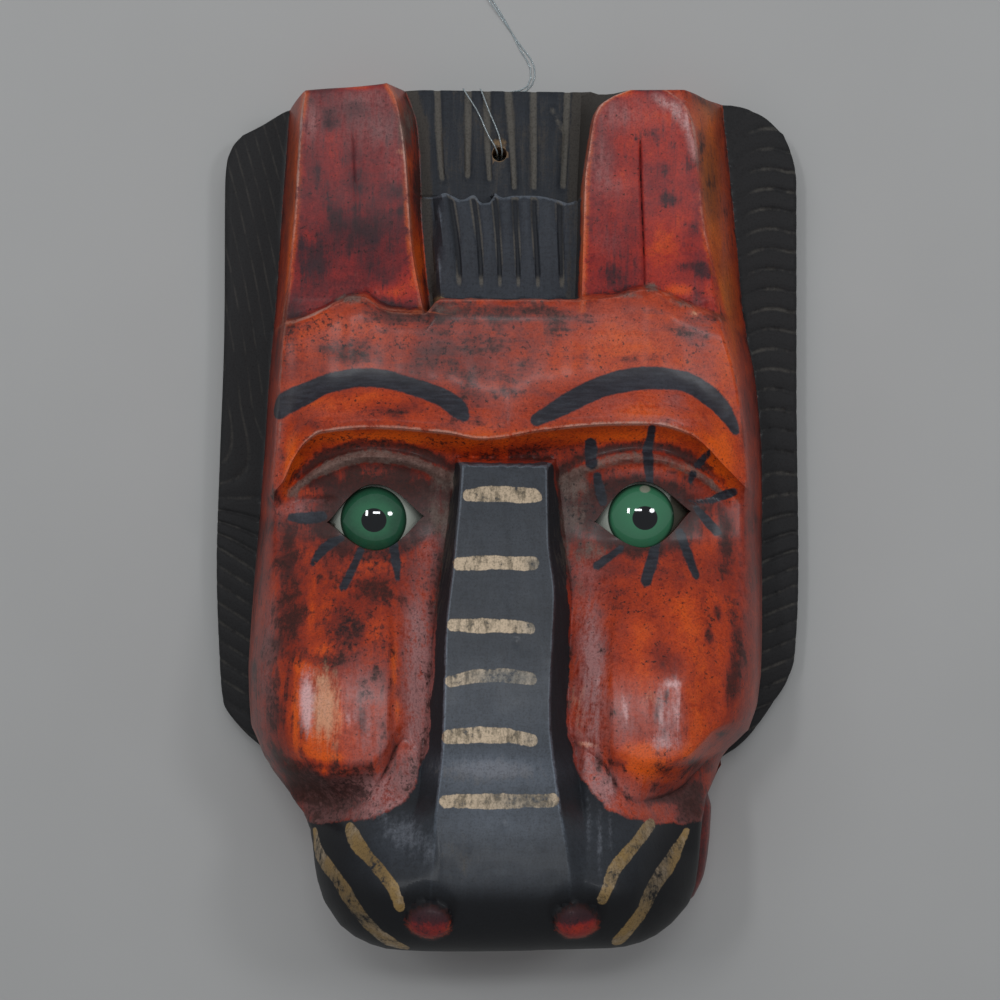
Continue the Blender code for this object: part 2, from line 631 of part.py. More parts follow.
def make_line():
    curve = bpy.data.curves.new("hanging_line", "CURVE")
    curve.dimensions = "3D"
    curve.bevel_depth = LINE_DIAMETER / 2 * MM
    curve.bevel_resolution = 2
    curve.use_fill_caps = True
    spline = curve.splines.new("POLY")
    points = placed(smooth_route(LINE_ROUTE, LINE_POINTS))
    spline.points.add(len(points) - 1)
    spline.points.foreach_set("co", np.column_stack([points, np.ones(len(points))]).ravel())
    made = bpy.data.objects.new("hanging_line", curve)
    bpy.context.scene.collection.objects.link(made)
    nylon = material("clear_nylon", (0.8, 0.82, 0.85), 0.15, 0.6)
    curve.materials.append(nylon)
    profile = [(0, 0.5), (2.2, 0.7), (KNOT_RADIUS, 2.0), (KNOT_RADIUS, 3.2), (2.2, 4.5), (0, 4.7)]
    knot = turned("line_knot", HOLE, profile, 14)
    knot.data.shade_smooth()
    knot.data.materials.append(nylon)


remove_everything()
make_mask()
make_eyes()
make_line()
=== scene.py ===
"""Carved and painted horse mask lying on its back: one block of wood, two glass eyes, a hanging line.

Lengths are worked out in millimetres on the carver's centre lines: x to the right as seen from the
front, y up to the ears, z out of the flat back. Finished meshes are in metres, in the frame's place.
"""

import math

import bpy
import numpy as np
from mathutils import Matrix, Vector


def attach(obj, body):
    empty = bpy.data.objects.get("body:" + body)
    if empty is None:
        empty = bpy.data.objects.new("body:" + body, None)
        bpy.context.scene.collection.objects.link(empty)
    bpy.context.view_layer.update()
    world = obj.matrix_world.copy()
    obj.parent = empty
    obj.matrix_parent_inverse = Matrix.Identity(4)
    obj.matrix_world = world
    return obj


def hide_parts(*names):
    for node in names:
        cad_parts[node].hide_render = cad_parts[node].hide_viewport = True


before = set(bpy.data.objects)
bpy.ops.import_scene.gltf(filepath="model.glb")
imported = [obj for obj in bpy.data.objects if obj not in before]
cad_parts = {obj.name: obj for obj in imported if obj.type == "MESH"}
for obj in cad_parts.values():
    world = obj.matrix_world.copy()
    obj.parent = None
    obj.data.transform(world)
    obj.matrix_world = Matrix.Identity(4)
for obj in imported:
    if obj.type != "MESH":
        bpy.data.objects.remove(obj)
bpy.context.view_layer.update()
scene = bpy.context.scene

# ---------------------------------------------------------------------------------------------
# Camera. It looks straight down on the mask, a little over seventy centimetres above the floor,
# turned by under a degree, as the mask was not quite square to it.

MM = 0.001
CAMERA_HEIGHT = 720.0
CAMERA_OVER = (-3.05, 1.55)
FIELD_HALF_WIDTH = 183.5
CAMERA_TURN = math.radians(0.8)

eye = bpy.data.cameras.new("camera")
eye.sensor_width = 36
eye.angle = 2 * math.atan(FIELD_HALF_WIDTH / CAMERA_HEIGHT)
camera = bpy.data.objects.new("camera", eye)
camera.location = (CAMERA_OVER[0] * MM, CAMERA_OVER[1] * MM, CAMERA_HEIGHT * MM)
camera.rotation_euler = (0, 0, CAMERA_TURN)
scene.collection.objects.link(camera)
scene.camera = camera

# ---------------------------------------------------------------------------------------------
# Hanging line. Clear nylon half a millimetre thick: a loop that comes out of the hole in the
# forelock, lies over the top edge and along the floor, turns round and goes back into the hole.

MIDDLE = (0.65, -1.55)        # middle of the mask's outline on the carver's centre lines
HOLE = (-4.3, 123.5)
LINE_DIAMETER = 0.5
LINE_POINTS = 80
LINE_ROUTE = (
    (-5.2, 123.5, 5.3), (-5.2, 123.5, 12.0), (-5.1, 123.8, 18.5), (-5.7, 125.6, 20.7),
    (-8.5, 130.2, 20.7), (-12.1, 138.0, 20.7), (-16.4, 144.6, 20.8), (-17.6, 146.7, 19.6),
    (-17.4, 147.0, 14.0), (-15.6, 147.2, 6.0), (-11.0, 148.0, 1.6), (-5.0, 149.2, 0.5),
    (1.5, 150.0, 0.4), (5.6, 152.0, 0.4), (6.8, 156.0, 0.4), (6.0, 160.0, 0.4),
    (2.8, 165.0, 0.4), (-0.6, 171.6, 0.4), (-4.4, 178.2, 0.4), (-8.6, 184.4, 0.4),
    (-13.4, 190.5, 0.4), (-17.6, 197.0, 0.4), (-17.6, 203.0, 0.4), (-12.6, 206.0, 0.4),
    (-8.2, 202.6, 0.4), (-8.6, 196.0, 0.4), (-10.6, 190.6, 0.6), (-10.4, 185.4, 1.2),
    (-6.4, 179.6, 1.3), (-1.6, 173.0, 0.6), (2.6, 167.0, 0.4), (7.2, 161.0, 0.4),
    (8.2, 155.4, 0.4), (6.0, 150.9, 0.4), (1.0, 148.7, 0.7), (-4.6, 147.9, 2.0),
    (-9.4, 147.2, 7.0), (-11.2, 147.0, 14.0), (-11.4, 146.7, 19.6), (-10.6, 144.6, 20.8),
    (-8.0, 138.0, 20.7), (-5.0, 131.2, 20.7), (-3.6, 125.8, 20.7), (-3.4, 123.8, 18.5),
    (-3.4, 123.5, 12.0), (-3.4, 123.5, 5.3),
)


def placed(points):
    """Points in metres in the frame, from points in millimetres on the carver's centre lines."""
    return (np.array(points, float) - np.array([MIDDLE[0], MIDDLE[1], 0])) * MM


def rounded(points, steps):
    """A Catmull-Rom curve through rows of points, in that many steps from each row to the next."""
    points = np.array(points, float)
    ends = np.concatenate([[2 * points[0] - points[1]], points, [2 * points[-1] - points[-2]]])
    a, b, c, d = (ends[k:len(ends) - 3 + k, None] for k in range(4))
    t = (np.arange(steps) / steps)[:, None]
    bent = (2 * a - 5 * b + 4 * c - d) * t ** 2 + (3 * b - a - 3 * c + d) * t ** 3
    curve = b + 0.5 * ((c - a) * t + bent)
    return np.concatenate([curve.reshape(-1, points.shape[1]), points[-1:]])


def smooth_route(route, points):
    """A curve through the route's own points, sampled evenly by length plus bend."""
    fine = rounded(route, 12)
    step = np.linalg.norm(np.diff(fine, axis=0), axis=1)
    bend = np.linalg.norm(np.diff(fine, n=2, axis=0), axis=1)
    along = np.concatenate([[0], np.cumsum(step + 6 * np.concatenate([bend, [0]]))])
    at = np.linspace(0, along[-1], points)
    return np.stack([np.interp(at, along, fine[:, k]) for k in range(3)], 1)


def node(tree, kind, inputs=None, **settings):
    """A shader node with its settings, and each input set to a value or linked to a socket."""
    made = tree.nodes.new(kind)
    for name, value in settings.items():
        setattr(made, name, value)
    for name, value in (inputs or {}).items():
        if isinstance(value, bpy.types.NodeSocket):
            tree.links.new(value, made.inputs[name])
        else:
            made.inputs[name].default_value = value
    return made


def finish_named(name, **values):
    """A new Principled material with plain values set on the shader's own sockets."""
    made = bpy.data.materials.new(name)
    made.use_nodes = True
    shader = made.node_tree.nodes["Principled BSDF"]
    for socket, value in values.items():
        shader.inputs[socket.replace("_", " ")].default_value = value
    return made, made.node_tree, shader


def tree_of(*values):
    """The node tree of the first socket among these values."""
    return next(value.id_data for value in values if isinstance(value, bpy.types.NodeSocket))


def noise(at, scale, detail, **more):
    """Value of a noise texture at those coordinates, with any other inputs by name."""
    inputs = {"Vector": at, "Scale": scale, "Detail": detail, **more}
    return node(tree_of(at), "ShaderNodeTexNoise", inputs).outputs["Fac"]


def colour_mix(share, a, b):
    """The colour a where share is 0, b where it is 1; each may be a colour or a socket."""
    tree = tree_of(share)
    made = node(tree, "ShaderNodeMix", {"Factor": share}, data_type="RGBA")
    for name, value in (("A", a), ("B", b)):
        socket = [s for s in made.inputs if s.name == name and s.type == "RGBA"][0]
        if isinstance(value, bpy.types.NodeSocket):
            tree.links.new(value, socket)
        else:
            socket.default_value = (*value, 1)
    return [s for s in made.outputs if s.type == "RGBA"][0]


nylon, tree, shader = finish_named("clear_nylon", Roughness=0.18, IOR=1.53, Transmission_Weight=0.55)
where = node(tree, "ShaderNodeTexCoord").outputs["Object"]
tint = colour_mix(noise(where, 900.0, 2.0), (0.50, 0.58, 0.61), (0.78, 0.86, 0.88))
tree.links.new(tint, shader.inputs["Base Color"])

curve = bpy.data.curves.new("hanging_line", "CURVE")
curve.dimensions = "3D"
curve.bevel_depth = LINE_DIAMETER / 2 * MM
curve.bevel_resolution = 3
curve.use_fill_caps = True
spline = curve.splines.new("POLY")
line_path = placed(smooth_route(LINE_ROUTE, LINE_POINTS))
spline.points.add(LINE_POINTS - 1)
spline.points.foreach_set("co", np.column_stack([line_path, np.ones(LINE_POINTS)]).ravel())
curve.materials.append(nylon)
hanging_line = bpy.data.objects.new("hanging_line", curve)
scene.collection.objects.link(hanging_line)

# ---------------------------------------------------------------------------------------------
# Knot. The two ends of the line wound round each other and pulled tight, in the recess behind
# the hole, so that the loop can't pull through.

KNOT_Z = 2.6
KNOT_RADIUS = 2.05
KNOT_STRAND = 0.42
KNOT_HALF_WIDTH = 0.72
KNOT_HALF_HEIGHT = 1.35
TIMES_ROUND = 3
TIMES_THROUGH = 7


def mesh_object(name, points, faces):
    """A mesh object from points in millimetres and faces as rows of point numbers."""
    mesh = bpy.data.meshes.new(name)
    mesh.from_pydata(placed(points).tolist(), [], faces)
    mesh.update()
    made = bpy.data.objects.new(name, mesh)
    scene.collection.objects.link(made)
    return made


def rings_to_faces(rings, segments, closed_along):
    """Four-sided faces between neighbouring rings, as lists of point numbers."""
    ring, turn = np.meshgrid(np.arange(rings if closed_along else rings - 1), np.arange(segments),
                             indexing="ij")
    next_ring, next_turn = (ring + 1) % rings, (turn + 1) % segments
    corners = (ring * segments + turn, ring * segments + next_turn,
               next_ring * segments + next_turn, next_ring * segments + turn)
    return np.stack([c.ravel() for c in corners], 1).tolist()


def wound_knot():
    """A closed strand wound three times round a ring and seven times through it: the middle of
    the strand is a torus knot, and each ring of points lies square to its direction."""
    t = np.linspace(0, 2 * math.pi, 260, endpoint=False)
    around, through_it = TIMES_ROUND * t, TIMES_THROUGH * t
    out = KNOT_RADIUS + KNOT_HALF_WIDTH * np.cos(through_it)
    middle = np.stack([HOLE[0] + out * np.cos(around), HOLE[1] + out * np.sin(around),
                       KNOT_Z + KNOT_HALF_HEIGHT * np.sin(through_it)], 1)
    ahead = np.roll(middle, -1, axis=0) - np.roll(middle, 1, axis=0)
    ahead /= np.linalg.norm(ahead, axis=1)[:, None]
    side = np.cross(ahead, [0, 0, 1.0])
    side /= np.linalg.norm(side, axis=1)[:, None]
    up = np.cross(side, ahead)
    turn = np.linspace(0, 2 * math.pi, 8, endpoint=False)
    ring = KNOT_STRAND * (np.cos(turn)[None, :, None] * side[:, None]
                          + np.sin(turn)[None, :, None] * up[:, None])
    points = (middle[:, None] + ring).reshape(-1, 3)
    return mesh_object("line_knot", points, rings_to_faces(len(middle), len(turn), True))


line_knot = wound_knot()
line_knot.data.shade_smooth()
line_knot.data.materials.append(nylon)

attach(hanging_line, "root")
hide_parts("hanging_line")
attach(line_knot, "root")
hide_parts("line_knot")

# ---------------------------------------------------------------------------------------------
# Carved body. One block of pale wood: a flat mane board, ears, forelock, brow, cheeks and muzzle
# in one, hollowed out behind for the face, with a cut mouth and a small hole for the line.

RIM = 1.3
BOARD_END = -92
BOARD_Z = 14.0
STRIP_Z = 20.0
LOCK_Z = 33.0
LIP_Z = 60.0
EAR_TOP_Z = 40.0
EAR_BASE_Z = 47.0
FOREHEAD_Z = 59.0

EYES = {"left": (-45.2, -7.3), "right": (45.6, -5.1)}
BALL = 20.0
EYE_RADIUS = 18.0
EYE_FRONT = 54.5
EYE_BACK = 41.5
EYE_OPENING = 32.4
EYE_POWER = 2.7
EYE_TILT = {"left": math.radians(4.5), "right": math.radians(7.0)}
UPPER_LID = 11.5
LOWER_LID = 10.2
POCKET_BACK = 15.0
GAP = 0.3

HOLE_RADIUS = 2.65
RECESS_RADIUS = 7.0
RECESS_DEPTH = 5.0
HOLLOW = (0.0, -16.0)
HOLLOW_HALF = (66.0, 84.0)
HOLLOW_TOP = 46.0
HOLLOW_POWER = 2.6
GOUGE_ROWS = 19
GOUGE_DEPTH = 0.010

# Cells of the carved front in each band between two column lines, and between two row lines
COLUMN_CELLS = (2, 13, 9, 34, 20, 7, 9, 9, 9, 9, 9, 9, 9, 6, 20, 34, 10, 13, 2)
ROW_CELLS = (2, 38, 42, 40, 9, 52, 46, 22, 52, 3)


def through(at, *points):
    """A smooth curve through given (station, value) points that never overshoots them: cubic
    pieces whose slope at a point is the harmonic mean of its neighbours', or level at a turn."""
    station, value = np.array(sorted(points), float).T
    step = np.diff(station)
    slope = np.diff(value) / step
    tangent = np.concatenate([slope[:1], np.zeros(len(slope) - 1), slope[-1:]])
    before, after = slope[:-1], slope[1:]
    same_way = before * after > 0
    mean = 2 * before * after / np.where(same_way, before + after, 1)
    tangent[1:-1] = np.where(same_way, mean, 0)
    at = np.clip(at, station[0], station[-1])
    k = np.clip(np.searchsorted(station, at) - 1, 0, len(step) - 1)
    t = (at - station[k]) / step[k]
    start = value[k] * (1 + 2 * t) * (1 - t) ** 2 + value[k + 1] * t * t * (3 - 2 * t)
    return start + step[k] * (tangent[k] * t * (1 - t) ** 2 - tangent[k + 1] * t * t * (1 - t))


def drawn(*points):
    """The smooth curve through those points as a function, for one line of the carving."""
    return lambda at: through(at, *points)


def beside(line, by):
    """A line of the carving moved over by that much."""
    return lambda at: line(at) + by


def ease(low, high, value):
    """0 below low, 1 above high, and a smooth rise between."""
    t = np.clip((value - low) / (high - low), 0, 1)
    return t * t * (3 - 2 * t)


def mix(a, b, share):
    """a where share is 0, b where it is 1."""
    return a + (b - a) * share


def higher(a, b, round_by):
    """The higher of two heights, with the valley between them rounded."""
    h = np.clip(0.5 + 0.5 * (a - b) / round_by, 0, 1)
    return mix(b, a, h) + round_by * h * (1 - h)


def uneven(x, y, size, seed):
    """Smooth unevenness from -1 to 1: hashed values on a square lattice of that size, eased
    between its corners."""
    gx, gy = x / size + 37.3 * seed, y / size + 11.9 * seed
    ix, iy = np.floor(gx), np.floor(gy)
    u, v = ease(0, 1, gx - ix), ease(0, 1, gy - iy)

    def corner(i, j):
        h = np.sin(i * 127.1 + j * 311.7 + seed * 74.7) * 43758.5453
        return 2 * (h - np.floor(h)) - 1

    low = mix(corner(ix, iy), corner(ix + 1, iy), u)
    high = mix(corner(ix, iy + 1), corner(ix + 1, iy + 1), u)
    return mix(low, high, v)


# Lines down the mask: x for each y
board_left = drawn((-134, -59.5), (-126, -62.3), (-116, -63.8), (-111, -64.7), (-106, -67), (-101, -72),
                   (-95, -80), (-88.5, -89), (-82, -96), (-74, -101.1), (-59, -102.6), (-21, -104.2),
                   (12, -103.6), (60, -102.6), (112, -103), (120, -102.5), (126, -100.4), (130, -97))

board_right = drawn((-134, 62.5), (-128.5, 65), (-118, 66.3), (-107, 67), (-101.5, 68.5), (-96.5, 72.5),
                    (-92, 78), (-88, 84), (-82.7, 89.3), (-73, 96.1), (-63.3, 102.1), (-55, 104.5),
                    (-30, 105.5), (36, 104), (90, 103.2), (117, 102.7), (126, 100.9), (133.2, 97.8))

rim_left = beside(board_left, RIM)
rim_right = beside(board_right, -RIM)

foot_left = drawn((-134, -57), (-110, -61), (-96, -77), (-86, -88.2), (-76, -90.1), (-59, -91),
                  (-32, -90.1), (9, -87.7), (42, -86), (76, -83.5), (99, -82.4), (146, -79.6))

foot_right = drawn((-134, 60), (-110, 63.5), (-96, 70), (-86, 82.5), (-78, 87.9), (-69, 90),
                   (-50, 91.4), (-3, 91.9), (12, 91.7), (44, 88.9), (66, 84.3), (90, 81.7), (113, 79.2),
                   (128, 77.4), (139, 76), (146, 75.3))

edge_left = drawn((-134, -50), (-105, -54), (-82, -71.7), (-57, -74.5), (-35, -79), (-16, -80.8),
                  (5, -78.9), (26, -77.8), (62, -78.1), (74, -76.2), (101, -74), (130, -73.2),
                  (146, -71))

edge_right = drawn((-134, 52), (-105, 56), (-84, 69.8), (-67, 71.4), (-53, 75.6), (-33, 79.8), (-2, 81),
                   (34, 78.7), (56, 76.8), (67, 74.2), (82, 69.5), (97, 66), (111, 64.7), (130, 62.9),
                   (135.7, 60.6), (139.4, 57.6), (143, 52.8), (146, 50))

# Inner edges of the ears above the forehead, foot of the nose bridge below it
inner_left = drawn((-134, -32), (-110, -28), (-86, -26), (-60, -24.2), (-33, -22.9), (-8, -19.4),
                   (12, -18), (40, -24), (64, -29.5), (82, -33.3), (91, -34.5), (102, -35.4),
                   (121, -37.2), (138, -40.4), (146, -45))

# Foot of the ears' inner walls above the forehead, top edges of the nose bridge below it
wall_left = drawn((-134, -23), (-102, -21.4), (-76, -19.5), (-46, -19.3), (-19, -17.1), (12, -15.3),
                  (40, -20), (64, -27.6), (90, -30.9), (104, -32), (120, -32.8), (134, -34.2),
                  (146, -38.6))

wall_right = drawn((-134, 22), (-116, 21), (-95, 17.4), (-68, 14.4), (-45, 15.2), (-32, 15.7),
                   (-13, 13.6), (12, 13.1), (40, 18), (69, 22.8), (88, 23.2), (108, 23.5), (126, 24.1),
                   (136, 24.4), (146, 24.6))

inner_right = drawn((-134, 31), (-110, 27), (-85, 22.5), (-57, 20.9), (-41, 22), (-30, 21.9),
                    (-8, 18.8), (12, 16.6), (40, 21), (69, 24.6), (90, 25), (110, 25.4), (123, 27),
                    (132, 28.3), (137, 30.6), (140.5, 35.6), (143, 41), (146, 44))

# Crease down the middle of each ear, and the step between the cheek's inner facets
fold_left = drawn((-134, -41), (-110, -38), (-95, -36.8), (-60, -36.6), (-45, -37), (-25, -41),
                  (0, -45), (30, -48.5), (60, -50.5), (72, -51.5), (131, -55.4), (146, -56.2))

fold_right = drawn((-134, 41.5), (-110, 38), (-95, 34.8), (-60, 33.6), (-45, 34.4), (-25, 38), (0, 43),
                   (30, 46), (60, 46.4), (76, 46.2), (126, 44.4), (146, 46.5))


# Scored lines of the forelock, from left to right: x at the top edge, where the cut on the upper
# strip stops, at the top of the block and at its foot; then the y where the cut on the strip stops
GROOVES = ((-27.2, -24.0, -21.4, -17.6, 112.6), (-16.0, -15.3, -13.2, -10.0, 113.6),
           (-9.4, -7.3, -5.8, -3.5, 112.6), (-1.7, 1.2, 1.3, 3.0, 109.6), (7.4, 8.1, 8.1, 9.8, 109.8),
           (19.8, 18.3, 16.9, 18.2, 110.4))


def groove(number):
    """Column line along one scored line, evenly spaced again from the forehead down."""
    top, stop, block_top, foot, _ = GROOVES[number]
    share = (number + 1) / (len(GROOVES) + 1)

    def line(y):
        scored = through(y, (60, foot), (73, foot), (106, block_top), (109, stop), (150, top))
        return mix(mix(wall_left(y), wall_right(y), share), scored, ease(52, 64, y))

    return line


COLUMNS = (board_left, rim_left, foot_left, edge_left, fold_left, inner_left, wall_left,
           *(groove(number) for number in range(len(GROOVES))),
           wall_right, inner_right, fold_right, edge_right, foot_right, rim_right, board_right)
# How strongly the cells of each band are drawn in towards both its sides
COLUMN_PULL = [0.085 if 6 <= band <= 12 else 0.05 if band in (3, 4, 14, 15) else 0.0
               for band in range(len(COLUMN_CELLS))]


# Lines across the mask: y for each x
top_edge = drawn((-97, 130), (-90, 133.7), (-80, 139.4), (-72, 141), (-45, 143.8), (-38, 145.6),
                 (-30, 146.05), (26, 146.05), (31, 143.7), (36, 142.8), (48, 143), (62, 143.1),
                 (69, 142.6), (77, 143.4), (82, 142.8), (90, 139.7), (97.8, 133.2))

under_top = beside(top_edge, -RIM)

# The chipped, wavy upper edge of the forelock's raised block
lock_top = drawn((-30, 107.6), (-25.6, 107.5), (-23.2, 108.3), (-20.7, 107.3), (-17.2, 105.9),
                 (-13, 107.7), (-10.2, 104.8), (-7.4, 105.2), (-5.7, 108.4), (-3.2, 106.8), (1, 107.6),
                 (8, 107.7), (11.9, 107.3), (16.8, 106.2), (19.9, 105.3), (22.4, 106.1))

ear_base = drawn((-104, 58), (-76.4, 59.4), (-64, 63.7), (-58, 67.2), (-50, 69.3), (-44, 65.5),
                 (-39.5, 64), (-29, 63.6), (-24, 68.5), (24, 69), (35.6, 70.2), (46, 73.1),
                 (52.6, 71.1), (62.3, 66.8), (74.3, 63.2), (105, 60))

brow_edge = drawn((-104, -4), (-82, 0), (-76, 5.3), (-72.7, 12.4), (-68.1, 18.8), (-62.7, 22.2),
                  (-45, 23.8), (-21, 22.4), (-9, 20.6), (12.3, 23.9), (33.9, 26), (48.5, 26.3),
                  (60.7, 23.3), (66.8, 19), (74, 12), (84, 4), (105, 0))

socket_top = beside(brow_edge, -4.5)

# How far above the fold the cheek starts to turn under; beside the nose it hardly does
fold_reach = drawn((-60, 14), (-48, 13.5), (-42.4, 10), (-37, 7.5), (-32, 5.5), (-26, 3.5), (20, 3.0),
                   (26, 3.5), (31, 6), (36, 11), (41, 14), (60, 14))

# The carved fold where the cheeks end over the muzzle
cheek_end = drawn((-104, -101), (-70, -105), (-58, -104.5), (-50.3, -101.4), (-45.2, -98.4),
                  (-40.6, -92.6), (-38, -88), (-35, -81.5), (-32.6, -79.2), (-29.5, -82), (-25.5, -87),
                  (-20, -88), (0, -84), (20, -79.5), (26.2, -82), (32.4, -86), (37.1, -93),
                  (40.8, -96.6), (46, -98.2), (52.2, -98.3), (59.3, -96.6), (65.6, -92), (69.4, -88.5),
                  (76, -86.5), (105, -86))

bottom_edge = drawn((-59.5, -134), (-53, -141.9), (-44, -147), (-35.6, -148.9), (-23.5, -149.15),
                    (6, -148.6), (17, -148), (37, -147.5), (44.6, -146.2), (53.7, -142.1), (62.5, -134))

over_bottom = beside(bottom_edge, RIM)


def under_eye(x):
    """A level line under the eyes."""
    return np.full_like(x, -21.0)


def cheek_turn(x):
    """Where the cheek starts to turn under, above the fold."""
    return cheek_end(x) + fold_reach(x)


ROWS = (top_edge, under_top, lock_top, ear_base, brow_edge, socket_top, under_eye, cheek_turn,
        cheek_end, over_bottom, bottom_edge)

FAR_OFF = 1e9


def off_straight(x, y, ax, ay, bx, by):
    """How far along a straight side the nearest place on it is, from 0 at a to 1 at b, and the
    distance to that place."""
    long = (bx - ax) ** 2 + (by - ay) ** 2
    share = np.clip(((x - ax) * (bx - ax) + (y - ay) * (by - ay)) / long, 0, 1)
    return share, np.hypot(x - ax - share * (bx - ax), y - ay - share * (by - ay))


def inside(x, y, corners):
    """Distance inside a closed outline, and minus the distance outside it: the nearest of its
    straight sides, with the sign from counting the sides crossed on the way out."""
    best = np.full(x.shape, FAR_OFF)
    within = np.zeros(x.shape, bool)
    for (ax, ay), (bx, by) in zip(corners, np.roll(corners, -1, axis=0)):
        best = np.minimum(best, off_straight(x, y, ax, ay, bx, by)[1])
        if ay != by:
            within ^= ((ay > y) != (by > y)) & (x < (bx - ax) * (y - ay) / (by - ay) + ax)
    return np.where(within, best, -best)


def from_outline(x, y):
    """Distance inside the outline of the head, which the board leaves free at its two sides."""
    down = np.linspace(-90, 200, 30)
    up = down[::-1]
    left = np.stack([foot_left(up), up], 1)
    right = np.stack([foot_right(down), down], 1)
    fall = np.linspace(-95, -133, 8)
    across = np.linspace(-59, 62, 24)
    chin = [np.stack([board_left(fall), fall], 1), np.stack([across, bottom_edge(across)], 1),
            np.stack([board_right(fall[::-1]), fall[::-1]], 1)]
    return inside(x, y, np.concatenate([left, *chin, right]))


def across_face(x, y):
    """0 at the foot of the nose bridge, 1 at the front edge of the side of the head."""
    left = (inner_left(y) - x) / (inner_left(y) - edge_left(y))
    right = (x - inner_right(y)) / (edge_right(y) - inner_right(y))
    return np.clip(np.where(x < 0, left, right), 0, 1.6)


def brushed(x, y, *points):
    """Distance inside a round-ended stroke along a smooth curve through points of (x, y, half
    width)."""
    path = rounded(points, 3)
    best = np.full(x.shape, -FAR_OFF)
    for (ax, ay, ar), (bx, by, br) in zip(path, path[1:]):
        share, gone = off_straight(x, y, ax, ay, bx, by)
        best = np.maximum(best, mix(ar, br, share) - gone)
    return best


def forelock_cuts(x, y):
    """1 on the flat bottom of the forelock's scored lines, falling to 0 at their sides and running
    out at their ends; a short one runs into the last."""
    on_strip = y > lock_top(x)
    best = np.clip(0.5 + brushed(x, y, (13.6, 141.0, 0.6), (18.6, 131.0, 0.5)), 0, 1) * 0.8
    for number, (*_, stop) in enumerate(GROOVES):
        off = np.abs(x - groove(number)(y))
        half = np.where(on_strip, 1.25 + 0.3 * ease(stop, 140, y), 0.95 + 0.45 * ease(76, 104, y))
        ends = np.where(on_strip, y - stop, np.minimum(lock_top(x) - 0.4 - y, (y - 73.0) / 3))
        best = np.maximum(best, ease(1.0, 0.55, off / half) * ease(0, 2.5, ends))
    return best


def mane_strokes(x, y):
    """Number of the gouged mane stroke at each place, growing smoothly from stroke to stroke: the
    strokes are long and steep on the upper left, turn outwards lower down, and arch on the right."""
    out_left = np.maximum(-x - 80, 0)
    steep = (-x - 0.26 * (y - 100) - 0.0011 * (y - 100) ** 2 + 0.5 * uneven(x, y, 22, 12)) / 4.2
    sweep = (y - 0.62 * out_left) / 6.6
    left = mix(sweep, steep - 26, ease(-20, 35, y))
    reach = np.clip((x - 80 - 0.03 * (60 - y)) / 21, 0, 1)
    arch = (y - 14.0 * np.sqrt(1 - (1 - reach) ** 2.2) + 2.5 * reach ** 3) / 7.2
    straight = (y - 9.0 * reach) / 6.4
    right = mix(straight, arch, ease(-30, 30, y))
    return np.where(x < 0, left, right)


def mane_cuts(x, y):
    """1 along the bottom of each mane stroke, falling to 0 at its sides; the steep fine ones on the
    upper left are only scratched in the paint."""
    number = mane_strokes(x, y)
    off = np.abs(number - np.round(number))
    return np.clip(1 - off / 0.2, 0, 1) * np.where(x < 0, ease(30, -10, y), 1.0)


def upper_face(x, y):
    """Ears, forelock between them and the forehead down to the edge of the brow."""
    block = LOCK_Z - 6.5 * ease(-24.6, -27.2, x)
    middle = mix(block, STRIP_Z, ease(-1.2, 1.0, y - lock_top(x)))
    fold_line = np.where(x < 0, fold_left(y), fold_right(y))
    off_fold = np.abs(x - fold_line)
    lean = mix(EAR_TOP_Z, EAR_BASE_Z, np.clip((142 - y) / 74, 0, 1))
    ear = lean + off_fold * np.where(x < 0, 0.05, 0.07)
    scored = np.where(x < 0, 0.28 * ease(98, 112, y) * ease(131, 124, y),
                      0.8 * ease(73, 77, y) * ease(130, 118, y))
    ear = ear - scored * ease(0.6, 0.1, off_fold)
    into = np.where(x < 0, (x - inner_left(y)) / (wall_left(y) - inner_left(y)),
                    (inner_right(y) - x) / (inner_right(y) - wall_right(y)))
    upper = mix(ear, middle, np.clip(into, 0, 1))
    over_brow = y - brow_edge(x)
    forehead = FOREHEAD_Z - 0.0011 * x * x
    ridge = through(np.abs(x), (0, 1.5), (14, 4.5), (45, 7.5), (62, 7), (80, 2))
    forehead = forehead + ridge * np.exp(-((over_brow - 2) / 9) ** 2)
    forehead = forehead - 1.1 * ease(8, 0, ear_base(x) - y)
    ledge = ear_base(x) + 0.4 * uneven(x, y, 3.0, 5) * (np.abs(x) < 80)
    return mix(upper, forehead, ease(-2, 1.2, ledge - y))


